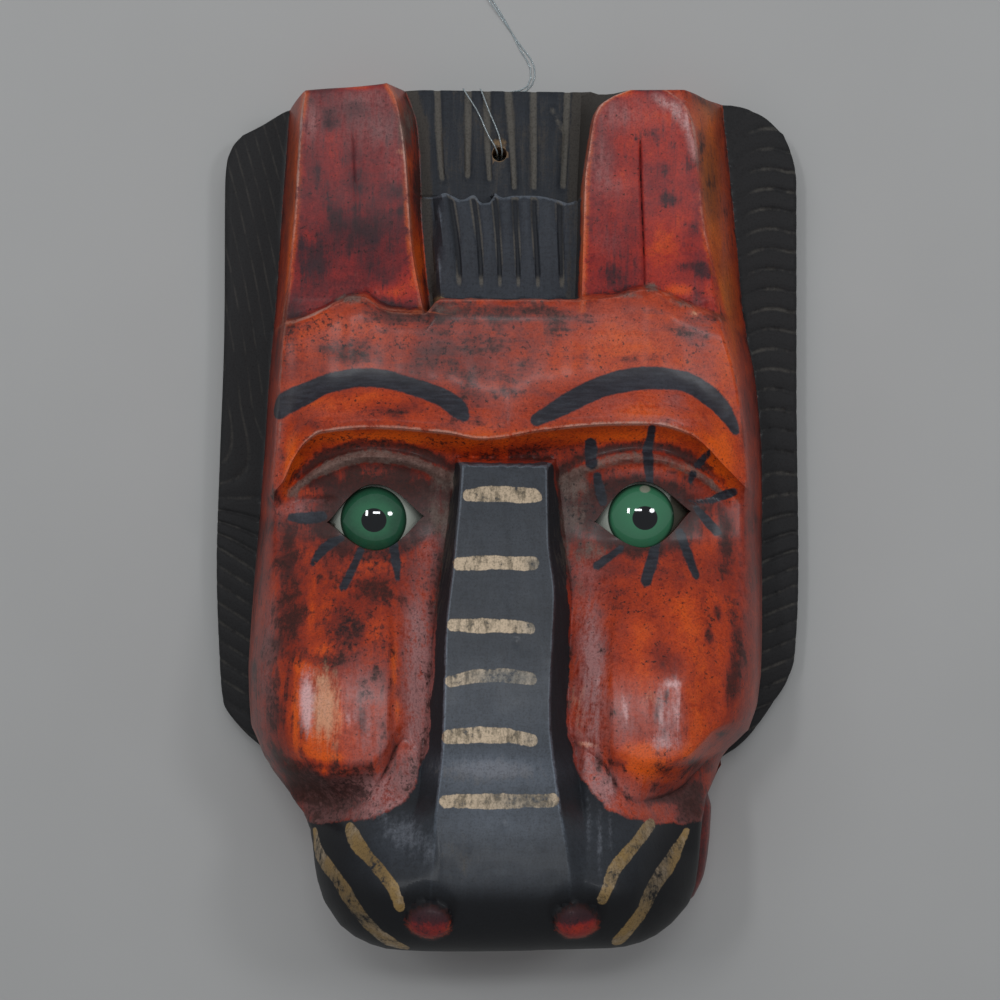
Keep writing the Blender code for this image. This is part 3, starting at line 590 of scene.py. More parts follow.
def lower_face(x, y):
    """Eye hollows and cheeks. Low down the cheek is cut in flat facets: one beside the nose, a small
    step, then the front, the outer facet and the side, with their corners barely rounded."""
    nose = through(y, (-90, 75), (-74, 71), (-50, 64), (-30, 57.5), (-8, 51), (8, 50), (22, 54))
    crown = through(y, (-90, 84), (-76, 82.5), (-58, 79), (-42, 71), (-24, 60), (-12, 55),
                    (0, 54.5), (10, 55.5), (22, 56.5))
    side = through(y, (-90, 78), (-70, 75), (-50, 68), (-30, 57), (-10, 49), (10, 47), (30, 49))
    a = across_face(x, y)
    smooth = mix(mix(nose, crown, ease(-0.05, 0.32, a)), side, ease(0.5, 1.1, a))
    step_at = np.where(x < 0, (inner_left(y) - fold_left(y)) / (inner_left(y) - edge_left(y)),
                       (fold_right(y) - inner_right(y)) / (edge_right(y) - inner_right(y)))
    inner_facet = mix(nose, crown - 2.9, np.clip(a / step_at, 0, 1))
    beyond = 0
    for shift in (-0.016, 0.0, 0.016):
        left = np.interp(a + shift, (0.29, 0.58, 0.865, 0.95, 1.06, 1.6), (1.1, 0, 4.2, 7.0, 9.5, 15))
        right = np.interp(a + shift, (0.29, 0.52, 0.73, 0.945, 1.06, 1.6), (1.1, 0, 1.8, 8.0, 10.5, 16))
        beyond = beyond + np.where(x < 0, left, right) / 3
    faceted = mix(inner_facet, crown - beyond, ease(step_at - 0.005, step_at + 0.035, a))
    return mix(smooth, faceted, ease(-30, -54, y))


def muzzle(x, y):
    """The muzzle under and below the cheeks, with a lobe on each side of the nose and the gap beside
    the bridge running out between them."""
    nose = through(y, (-150, 100), (-125, 99.5), (-113, 95), (-100, 86), (-90, 79.5), (-78, 75.5))
    flank = through(y, (-150, 88), (-122, 85), (-110, 80), (-100, 73.5), (-90, 68.5), (-78, 64))
    side = through(y, (-150, 80), (-120, 76), (-105, 66), (-95, 58), (-80, 54))
    out = np.abs(x + 0.5)
    lobed = mix(nose, flank, ease(34, 60, out))
    return mix(lobed, side, ease(42, 66, out)) - 6.5 * ease(28, 22, out) * ease(-109, -96, y)


def bridge(x, y):
    """The raised bridge of the nose, flat on top, with a sloping wall on each side."""
    top = through(y, (-150, 104.5), (-138, 103.8), (-126, 102.2), (-114, 99.6), (-103, 96.2),
                  (-92, 92), (-75, 85.5), (-50, 79), (-20, 71.5), (0, 66.5), (12, 63))
    steep_left = through(y, (-150, 0.3), (-122, 0.35), (-110, 0.6), (-92, 1.8), (-50, 2.7), (5, 5.0))
    steep_right = through(y, (-150, 0.4), (-122, 0.5), (-108, 0.9), (-90, 1.8), (-30, 2.5), (5, 3.3))
    soft = 0.01 + 9 * ease(-98, -120, y)
    beyond_left = 0.5 * (wall_left(y) - x + np.hypot(wall_left(y) - x, soft) - 0.7 * soft)
    beyond_left = np.maximum(beyond_left, 0) * steep_left
    beyond_right = np.maximum(x - wall_right(y), 0) * steep_right
    beyond_top = np.maximum(y - 11.5, 0) * 4
    return top - np.maximum(np.maximum(beyond_left, beyond_right), beyond_top)


def lid_lines(x, y):
    """For the eye nearest to each place: how far the place lies above the carved arc over the eye, and
    how much of the arc is left there, 1 in its middle and 0 past its ends."""
    above, present = [], []
    for side, (ex, ey) in EYES.items():
        out = (x - ex) * (-1 if side == "left" else 1)
        reach = np.where(out > 0, 30.0, 28.0)
        fall = np.where(out > 0, 0.0150, 0.0108)
        above.append(y - (ey + (21.4 if side == "left" else 20.0) - fall * out * out))
        present.append(np.clip(1 - (out / reach) ** 2, 0, 1))
    return np.where(x < 0, *above), np.where(x < 0, *present)


def lid_ridges(x, y):
    """The narrow carved arcs over the eyes."""
    above, present = lid_lines(x, y)
    return 3.0 * np.sqrt(present) * np.exp(-(above / 1.8) ** 2)


def eye_creases(x, y):
    """1 in the short crease at the outer corner of each eye."""
    creases = np.maximum(brushed(x, y, (-71.5, -0.8, 0.5), (-60.0, -0.6, 0.5)),
                         brushed(x, y, (62.5, 0.6, 0.5), (77.0, 3.4, 0.5)))
    return np.clip(0.5 + creases / 1.2, 0, 1)


NOSTRILS = ((-23.0, -133.8), (23.7, -133.5))


def nostrils(x, y):
    """Two small domes on the front of the muzzle, each under a scooped hollow."""
    height = 0
    for nx, ny in NOSTRILS:
        r = np.hypot((x - nx) / 7.2, (y - ny) / 6.3)
        hollow = np.hypot((x - nx) / 10.0, (y - ny - 3.5) / 9.0)
        height = height + 5.4 * np.sqrt(np.clip(1 - r * r, 0, 1)) - 2.6 * np.clip(1 - hollow ** 2, 0, 1)
    return height


# Small losses: (x, y, half width, half height, depth)
CHIPS = ((-49.0, 68.5, 4.0, 3.0, 0.9), (46.5, 72.0, 3.0, 2.4, 0.8), (-4.3, 127.2, 3.4, 2.6, 1.4),
         (-28.5, 73.0, 2.2, 1.0, 1.0), (3.5, -46.5, 1.3, 0.8, 0.5), (27.5, -79.5, 2.0, 1.2, 0.9),
         (-34.5, 118.0, 1.4, 1.0, 0.6), (69.0, 66.5, 2.6, 2.0, 0.8), (-66, -1.5, 1.0, 0.8, 0.3),
         (0.8, -104.0, 0.8, 0.8, 0.4), (3.6, -117.0, 0.7, 0.7, 0.4), (-31.0, -84.5, 1.6, 1.0, 0.7))


def losses(x, y):
    """Depth of the chips: shallow bowls with uneven rims."""
    depth = 0
    for cx, cy, wide, tall, deep in CHIPS:
        r = np.hypot((x - cx) / wide, (y - cy) / tall) + 0.35 * uneven(x, y, 1.6, 3)
        depth = depth + deep * ease(1.1, 0.3, r)
    return depth


def relief(x, y):
    """Height of the carved front over the plane that the back rim lies on: the parts of the face
    blended at the brow and the fold, then rounded down to the board at the head's outline."""
    low = lower_face(x, y)
    chin = muzzle(x, y)
    over_fold = np.clip((y - cheek_end(x)) / fold_reach(x), 0, 1)
    cheek = (1 - (1 - over_fold) ** 1.14) ** (1 / 1.14)
    low = mix(chin, low, cheek)
    low = low - mix(0.45, 0.7, x > 0) * np.exp(-(y - cheek_end(x)) ** 2) * ease(22, 28, np.abs(x))
    low = low + lid_ridges(x, y) - 0.9 * eye_creases(x, y)
    under_brow = np.clip((brow_edge(x) - y) / 6.5, 0, 1)
    front = mix(upper_face(x, y), low, under_brow ** 0.8)
    valley = mix(0.8, 3.0, ease(-98, -116, y) * ease(4, -4, x))
    front = np.where(y < 20, higher(front, bridge(x, y), valley), front)
    inward = from_outline(x, y)
    left_width = through(y, (-150, 28), (-120, 18), (-100, 15), (-80, 20), (-50, 18), (-20, 11),
                         (10, 8.6), (146, 8))
    right_width = through(y, (-150, 28), (-120, 18), (-100, 15), (-80, 19), (-50, 15), (-20, 11.5),
                          (20, 11), (74, 14), (119, 15), (146, 16.5))
    width = mix(left_width, right_width, ease(-40, 40, x))
    width = mix(width, 29.0, ease(-100, -136, y) * ease(56, 28, np.abs(x)))
    share = np.clip(inward / width, 0, 1)
    power = through(y, (-60, 2.0), (-20, 1.5), (20, 1.15), (146, 1.05))
    rise = (1 - (1 - share) ** power) ** (1 / power)
    start = mix(BOARD_Z, LIP_Z, ease(-86, -106, y))
    start = mix(start, LIP_Z + 8, ease(-126, -147, y))
    head = start + (front - start) * rise + nostrils(x, y)
    return np.where((inward > 0) | (y < BOARD_END), head, BOARD_Z)


def carved(x, y):
    """The relief with its finer work: scored forelock, gouged mane, chips, softened rims and the
    slight unevenness that the knife leaves."""
    height = relief(x, y)
    inward = from_outline(x, y)
    on_board = ease(0.2, 1.2, -inward) * (y > BOARD_END)
    in_lock = (x > wall_left(y)) & (x < wall_right(y)) & (y > ear_base(x) + 1)
    height = height - 0.8 * mane_cuts(x, y) * on_board
    height = height - 0.95 * forelock_cuts(x, y) * in_lock
    height = height - losses(x, y)
    rim = np.minimum(np.minimum(x - board_left(y), board_right(y) - x), top_edge(x) - y)
    height = height - 0.9 * np.clip(1 - rim / RIM, 0, 1) ** 2 * (y > BOARD_END)
    knife = 0.10 * uneven(x * 1.6, y * 0.5, 6.0, 1) + 0.02 * uneven(x, y, 2.6, 2)
    return height + knife * ease(-1, 2, np.abs(inward)) * np.where(in_lock, 0.35, 1.0)


def spread(counts, pulls=None):
    """Places along a row of bands: count cells in each band, as band number plus share, drawn in
    towards the sides of the bands that have a pull."""
    pulls = pulls or [0.0] * len(counts)
    shares = [np.arange(n) / n for n in counts]
    places = [k + s - pull * np.sin(2 * math.pi * s) for k, (s, pull) in enumerate(zip(shares, pulls))]
    return np.concatenate([*places, [len(counts)]])


def between(lines, place, at):
    """Value, at the place of each band, of a family of lines worked out at `at`."""
    band = np.minimum(place.astype(int), len(lines) - 2)
    all_lines = np.stack([f(at) for f in lines])
    low = np.take_along_axis(all_lines, band[None], 0)[0]
    high = np.take_along_axis(all_lines, band[None] + 1, 0)[0]
    return mix(low, high, place - band)


def front_grid(column_counts, row_counts):
    """x and y of the carved front, on a grid whose lines follow the edges of the carving: each
    column line gives x from y and each row line y from x, settled by turns."""
    across, down = np.meshgrid(spread(column_counts, COLUMN_PULL), spread(row_counts))
    x = mix(-90.0, 90.0, across / (len(COLUMNS) - 1))
    y = np.zeros_like(x)
    for _ in range(14):
        y = between(ROWS, down, x)
        x = between(COLUMNS, across, y)
    return x, y


def around(grid):
    """The border of a grid as one ring: top row, right side, bottom row, left side."""
    return np.concatenate([grid[0, :-1], grid[:-1, -1], grid[-1, :0:-1], grid[:0:-1, 0]])


# Side of the block: share of the way down, push outwards at the mouth, share of the jaw's own push
SIDE_STEPS = ((0.04, 0.0, 0), (0.08, -0.6, 0), (0.12, -1.4, 0), (0.16, -2.6, 0), (0.19, -4.4, 0),
              (0.21, -6.5, 0), (0.24, -11.0, 0), (0.33, -11.0, 0), (0.36, -5.0, 0.6),
              (0.385, -2.6, 0.9), (0.41, -1.5, 1), (0.46, -0.4, 1), (0.52, 0.2, 1), (0.64, 0.3, 1),
              (0.76, 0.0, 1), (0.88, -1.2, 1), (0.98, -2.8, 1), (1.0, -3.4, 1), (1.0, -4.0, 1))


def side_rings(ring_x, ring_y, ring_z):
    """The sides from the border of the front down to the back rim: straight at the board and ears,
    and on the muzzle a lip, the mouth slot and the lower jaw under it."""
    ahead_x, ahead_y = np.roll(ring_x, -1), np.roll(ring_y, -1)
    back_x, back_y = np.roll(ring_x, 1), np.roll(ring_y, 1)
    run = np.hypot(ahead_x - back_x, ahead_y - back_y)
    out_x, out_y = (back_y - ahead_y) / run, (ahead_x - back_x) / run
    for _ in range(int((len(run) / 180) ** 2) + 1):
        out_x = (np.roll(out_x, 1) + 2 * out_x + np.roll(out_x, -1)) / 4
        out_y = (np.roll(out_y, 1) + 2 * out_y + np.roll(out_y, -1)) / 4
    mouth = ease(BOARD_END, BOARD_END - 14, ring_y)
    jaw = mix(0.5, 6.5, ease(-10, 55, ring_x))
    jaw = mix(jaw, -6.0, ease(-134, -146, ring_y))
    rings = []
    for k, (drop, inset, on_jaw) in enumerate(SIDE_STEPS):
        push = mouth * (inset + jaw * on_jaw)
        if k == len(SIDE_STEPS) - 1:
            push = push - 0.8 * (1 - mouth)
        rings.append(np.stack([ring_x + out_x * push, ring_y + out_y * push, ring_z * (1 - drop)], 1))
    return rings


def carved_block(name):
    """The block before it is hollowed: front, sides and flat back as one closed mesh. Each point
    carries its part of the block: 1 on the front, 2 to 3 down the side, 4 on the back."""
    x, y = front_grid(COLUMN_CELLS, ROW_CELLS)
    z = carved(x, y)
    rows, columns = x.shape
    number = np.arange(rows * columns).reshape(rows, columns)
    corners = (number[:-1, :-1], number[1:, :-1], number[1:, 1:], number[:-1, 1:])
    quads = [np.stack(corners, -1).reshape(-1, 4)]
    points = [np.stack([x.ravel(), y.ravel(), z.ravel()], 1)]
    part = [np.ones(rows * columns)]
    last = around(number)
    start = rows * columns
    rings = side_rings(around(x), around(y), around(z))
    for k, ring in enumerate(rings):
        this = start + np.arange(len(ring))
        points.append(ring)
        part.append(np.full(len(ring), 4.0 if k == len(rings) - 1 else 2 + SIDE_STEPS[k][0]))
        quads.append(np.stack([last, np.roll(last, -1), np.roll(this, -1), this], 1))
        last, start = this, start + len(ring)
    made = mesh_object(name, np.concatenate(points), np.concatenate(quads).tolist() + [last.tolist()])
    made.data.attributes.new("part", "FLOAT", "POINT").data.foreach_set("value", np.concatenate(part))
    return made


def turned(name, place, profile, segments):
    """A closed solid turned about an upright axis at place: profile is (radius, z) from the lower
    middle, outwards and up to the upper middle."""
    angles = np.arange(segments) * 2 * math.pi / segments
    rings = [np.stack([place[0] + radius * np.cos(angles), place[1] + radius * np.sin(angles),
                       np.full(segments, z)], 1) for radius, z in profile[1:-1]]
    points = np.concatenate([*rings, [(*place, profile[0][1]), (*place, profile[-1][1])]])
    faces = rings_to_faces(len(rings), segments, False)
    low, high = len(points) - 2, len(points) - 1
    this, after = np.arange(segments), (np.arange(segments) + 1) % segments
    last = (len(rings) - 1) * segments
    faces += np.stack([np.full(segments, low), after, this], 1).tolist()
    faces += np.stack([last + this, last + after, np.full(segments, high)], 1).tolist()
    return mesh_object(name, points, faces)


def cap_profile(radius, ball, front, back, rings):
    """Profile of a glass eye: flat back, short edge and a front that is part of a ball."""
    centre = front - ball
    half = math.asin(radius / ball)
    dome = [(ball * math.sin(half * k / rings), centre + ball * math.cos(half * k / rings))
            for k in range(rings, -1, -1)]
    return [(0, back), (radius, back), *dome]


def cut(thing, cutter):
    """The cutter taken out of the thing, and then the cutter itself put away."""
    cutter.hide_render = True
    cutter.display_type = "WIRE"
    modifier = thing.modifiers.new(cutter.name, "BOOLEAN")
    modifier.operation = "DIFFERENCE"
    modifier.solver = "EXACT"
    modifier.object = cutter
    return cutter


def almond_cutter(side, points):
    """The eye opening cut straight through to the glass, a little wider at the front: two arcs
    between the corners, a little turned."""
    ex, ey = EYES[side]
    tilt = EYE_TILT[side]
    turn = np.linspace(0, 2 * math.pi, points, endpoint=False)
    along = np.cos(turn) * EYE_OPENING / 2
    rise = np.where(turn < math.pi, UPPER_LID, LOWER_LID)
    away = np.sign(np.sin(turn)) * rise * np.abs(np.sin(turn)) ** EYE_POWER
    x = ex + 0.6 + along * math.cos(tilt) - away * math.sin(tilt)
    y = ey + 0.2 + along * math.sin(tilt) + away * math.cos(tilt)
    ring = np.stack([x, y], 1)
    middle = ring.mean(axis=0)
    low = np.column_stack([ring, np.full(points, EYE_BACK)])
    high = np.column_stack([middle + (ring - middle) * 1.10, np.full(points, 75.0)])
    ends = [list(range(points - 1, -1, -1)), list(range(points, 2 * points))]
    return mesh_object("opening_" + side, np.concatenate([low, high]),
                       rings_to_faces(2, points, False) + ends)


def hollow_cutter():
    """The vault scooped out behind for the face: squared-off rings that close in towards the top,
    with the shallow rows that a gouge leaves."""
    rings, segments = 26, 120
    turn = np.arange(segments) * 2 * math.pi / segments
    square = np.abs(np.cos(turn)) ** HOLLOW_POWER + np.abs(np.sin(turn)) ** HOLLOW_POWER
    square = 1 / square ** (1 / HOLLOW_POWER)
    k = np.arange(rings)
    heights = np.concatenate([[-3.0], HOLLOW_TOP * np.sin(math.pi / 2 * k / rings)])
    widths = np.concatenate([[1.0], np.cos(math.pi / 2 * k / rings) ** 0.8])
    wide, angle = np.meshgrid(widths, turn, indexing="ij")
    rows = np.abs(np.sin(angle * GOUGE_ROWS + 3 * np.sin(wide * 9)))
    gouge = 1 - GOUGE_DEPTH * rows * (wide < 0.999)
    x = HOLLOW[0] + HOLLOW_HALF[0] * wide * square * gouge * np.cos(angle)
    y = HOLLOW[1] + HOLLOW_HALF[1] * wide * square * gouge * np.sin(angle)
    z = np.broadcast_to(heights[:, None], x.shape)
    points = np.stack([x.ravel(), y.ravel(), z.ravel()], 1)
    points = np.concatenate([points, [(*HOLLOW, HOLLOW_TOP)]])
    last = (len(heights) - 1) * segments
    this = np.arange(segments)
    cap = np.stack([last + this, last + (this + 1) % segments, np.full(segments, len(points) - 1)], 1)
    faces = rings_to_faces(len(heights), segments, False) + cap.tolist()
    return mesh_object("hollow", points, faces + [list(range(segments - 1, -1, -1))])


body = carved_block("carved_mask_body")
cutters = [cut(body, hollow_cutter())]
drilled = (("hole", HOLE_RADIUS, 60, 24), ("recess", RECESS_RADIUS, RECESS_DEPTH, 40))
for name, radius, top, segments in drilled:
    drill = turned(name, HOLE, [(0, -2), (radius, -2), (radius, top), (0, top)], segments)
    cutters.append(cut(body, drill))
for side, place in EYES.items():
    pocket = cap_profile(EYE_RADIUS + GAP, BALL + GAP, EYE_FRONT + GAP, POCKET_BACK, 10)
    cutters.append(cut(body, turned("pocket_" + side, place, pocket, 56)))
    cutters.append(cut(body, almond_cutter(side, 72)))
bpy.context.view_layer.update()
evaluated = body.evaluated_get(bpy.context.evaluated_depsgraph_get())
finished = bpy.data.meshes.new_from_object(evaluated)
for thing in [body, *cutters]:
    bpy.data.objects.remove(thing)
carved_mask = bpy.data.objects.new("carved_mask_wood", finished)
scene.collection.objects.link(carved_mask)
finished.shade_smooth()
finished.set_sharp_from_angle(angle=math.radians(48))


def point_places(mesh):
    """x, y and z of a mesh's points, in millimetres on the carver's centre lines."""
    flat = np.empty(len(mesh.vertices) * 3, np.float32)
    mesh.vertices.foreach_get("co", flat)
    return (flat.reshape(-1, 3).astype(float) / MM + np.array([MIDDLE[0], MIDDLE[1], 0])).T


def give(mesh, name, values):
    """Stores one number for each point of the mesh, for the paint to read."""
    attribute = mesh.attributes.new(name, "FLOAT", "POINT")
    attribute.data.foreach_set("value", np.ascontiguousarray(values, np.float32))


def dabs(x, y, spots):
    """Sum of soft dabs, each (x, y, half width, half height, amount)."""
    total = np.zeros(x.shape)
    for cx, cy, wide, tall, amount in spots:
        total += amount * np.exp(-((x - cx) / wide) ** 2 - ((y - cy) / tall) ** 2)
    return total


def softened(heights, cells):
    """Heights blurred with a bell of that many cells, first along the rows and then the columns."""
    reach = int(3 * cells)
    bell = np.exp(-(np.arange(-reach, reach + 1) / cells) ** 2 / 2)
    bell /= bell.sum()
    for axis in (0, 1):
        padded = np.pad(heights, [(reach, reach) if k == axis else (0, 0) for k in (0, 1)], "edge")
        length = heights.shape[axis]
        heights = sum(w * np.take(padded, np.arange(k, k + length), axis) for k, w in enumerate(bell))
    return heights


def stand_out(x, y, *sizes):
    """How far each place stands above the surface around it, for each size of surroundings in mm:
    above 0 on edges and below 0 in creases. Worked out on an even raster and read between cells."""
    cell, left, low = 0.5, -110, -155
    raster_x, raster_y = np.meshgrid(np.arange(left, 111, cell), np.arange(low, 152, cell))
    heights = carved(raster_x, raster_y)
    gx = np.clip((x - left) / cell, 0, heights.shape[1] - 1.001)
    gy = np.clip((y - low) / cell, 0, heights.shape[0] - 1.001)
    ix, iy = gx.astype(int), gy.astype(int)
    u, v = gx - ix, gy - iy
    found = []
    for size in sizes:
        over = heights - softened(heights, size / cell)
        found.append(mix(mix(over[iy, ix], over[iy, ix + 1], u),
                         mix(over[iy + 1, ix], over[iy + 1, ix + 1], u), v))
    return found


# Black snout: the bridge, the foot of its walls and the muzzle below the cheeks
SNOUT = ((-17.6, 12.6), (-19.6, -5), (-21.5, -20), (-23.2, -41.7), (-23.1, -57.5), (-24.8, -73.2),
         (-24.9, -82.3), (-27.8, -88.2), (-28.6, -92.8), (-31.2, -97.2), (-36.8, -101.0),
         (-46.8, -104.4), (-60.0, -108.4), (-80, -110), (-80, -160), (80, -160), (80, -107),
         (60.2, -106.8), (50.6, -105.7), (42.4, -102.5), (34.0, -99.6), (25.7, -91), (23.3, -85.1),
         (21.3, -77.5), (20.4, -67.3), (21.2, -57.3), (21.5, -40), (20, -20), (17.4, 0), (15.2, 12.6))

# Gold stripes across the bridge and down the sides of the muzzle
GOLD = (
    ((-12.8, 1.5, 2.1), (-7.4, 1.9, 2.5), (-0.8, 2.0, 2.5), (4.2, 1.9, 2.5), (8.2, 1.8, 2.4),
     (10.3, 0.8, 1.4)),
    ((-15.6, -21.3, 2.1), (-10.4, -20.9, 2.4), (-3.8, -20.7, 2.3), (2.8, -20.9, 2.3), (8.5, -20.8, 2.2)),
    ((-17.2, -41.2, 1.9), (-11.7, -41.3, 2.2), (-5.1, -41.2, 2.2), (1.5, -41.3, 2.1), (8.0, -41.8, 1.9)),
    ((-17.5, -59.1, 1.8), (-11.4, -57.8, 2.1), (-4.9, -57.2, 2.1), (1.7, -57.3, 2.1), (8.5, -58.2, 1.9)),
    ((-17.8, -76.8, 2.2), (-11.0, -76.2, 2.5), (-4.6, -76.0, 2.4), (1.9, -76.2, 2.2), (9.0, -77.4, 1.9)),
    ((-18.6, -96.6, 1.9), (-12.2, -96.3, 2.2), (-4.2, -96.3, 2.2), (3.7, -96.1, 2.2), (15.9, -95.6, 1.9)),
    ((-49.3, -108.3, 2.2), (-47.2, -111.3, 2.4), (-43.0, -114.6, 1.9), (-37.9, -119.3, 1.9),
     (-34.0, -124.2, 1.9), (-32.2, -129.6, 1.4)),
    ((-62.3, -110.6, 0.8), (-59.6, -117.6, 2.3), (-53.4, -122.6, 2.3), (-47.8, -130.1, 2.3),
     (-42.2, -137.1, 2.3), (-36.2, -142.6, 2.2), (-30.5, -145.6, 1.2)),
    ((47.9, -105.5, 2.1), (40.8, -111.7, 2.1), (35.4, -117.4, 2.0), (31.7, -126.4, 1.6)),
    ((61.0, -109.2, 1.1), (56.4, -115.7, 2.2), (49.1, -123.1, 2.5), (44.5, -132.2, 2.3),
     (37.6, -142.0, 2.2)))

# Charcoal eyebrows and the lashes round each eye
BROWS = (
    ((-78.0, 29.6, 3.2), (-75.8, 32.0, 4.0), (-70.1, 34.4, 3.9), (-60.5, 38.8, 3.4), (-50.6, 40.6, 3.4),
     (-42.1, 40.3, 3.2), (-31.9, 37.7, 3.0), (-22.7, 34.4, 3.2), (-17.3, 30.7, 3.3), (-14.9, 28.0, 2.0)),
    ((9.6, 27.0, 2.2), (17.9, 31.8, 3.3), (28.4, 37.4, 3.7), (39.2, 40.9, 4.0), (49.1, 41.9, 3.9),
     (60.0, 40.8, 3.5), (67.7, 36.6, 3.5), (73.7, 31.0, 2.8), (77.5, 24.6, 1.5)))
LASHES = (
    ((-73.6, -7.0, 1.5), (-68.0, -7.2, 2.0), (-62.9, -6.4, 1.9)),
    ((-56.1, -13.6, 1.3), (-61.5, -17.1, 1.8), (-65.6, -22.5, 1.0)),
    ((-49.2, -17.6, 1.3), (-51.9, -24.3, 1.5), (-54.6, -30.2, 1.3)),
    ((-38.4, -14.7, 1.7), (-37.2, -21.4, 1.5), (-36.3, -27.4, 0.8)),
    ((28.0, 19.7, 2.0), (28.1, 16.7, 2.2), (28.3, 12.6, 2.0)),
    ((30.4, 8.6, 1.5), (31.5, 3.9, 1.8), (32.6, -0.2, 1.6)),
    ((48.4, 24.6, 1.4), (48.0, 21.0, 1.5), (47.1, 16.9, 1.8)),
    ((47.3, 15.5, 1.8), (47.9, 10.9, 1.8), (48.3, 6.8, 1.2)),
    ((68.7, 17.8, 0.8), (66.9, 15.6, 1.3), (64.8, 12.8, 1.5)), ((62.9, 9.7, 1.3), (62.1, 7.0, 1.0)),
    ((77.2, 3.8, 1.6), (72.7, 2.1, 1.6), (68.5, 0.6, 1.0), (62.2, 0.6, 0.5)),
    ((64.3, -1.8, 1.1), (67.9, -5.8, 1.8), (71.7, -9.9, 1.6)),
    ((58.8, -10.0, 1.5), (61.5, -17.7, 1.7), (64.1, -24.7, 1.3)),
    ((50.7, -13.5, 1.7), (49.2, -19.5, 2.0), (47.0, -26.5, 1.9)),
    ((38.8, -15.7, 1.1), (34.4, -19.1, 1.5), (30.7, -21.8, 1.6)))
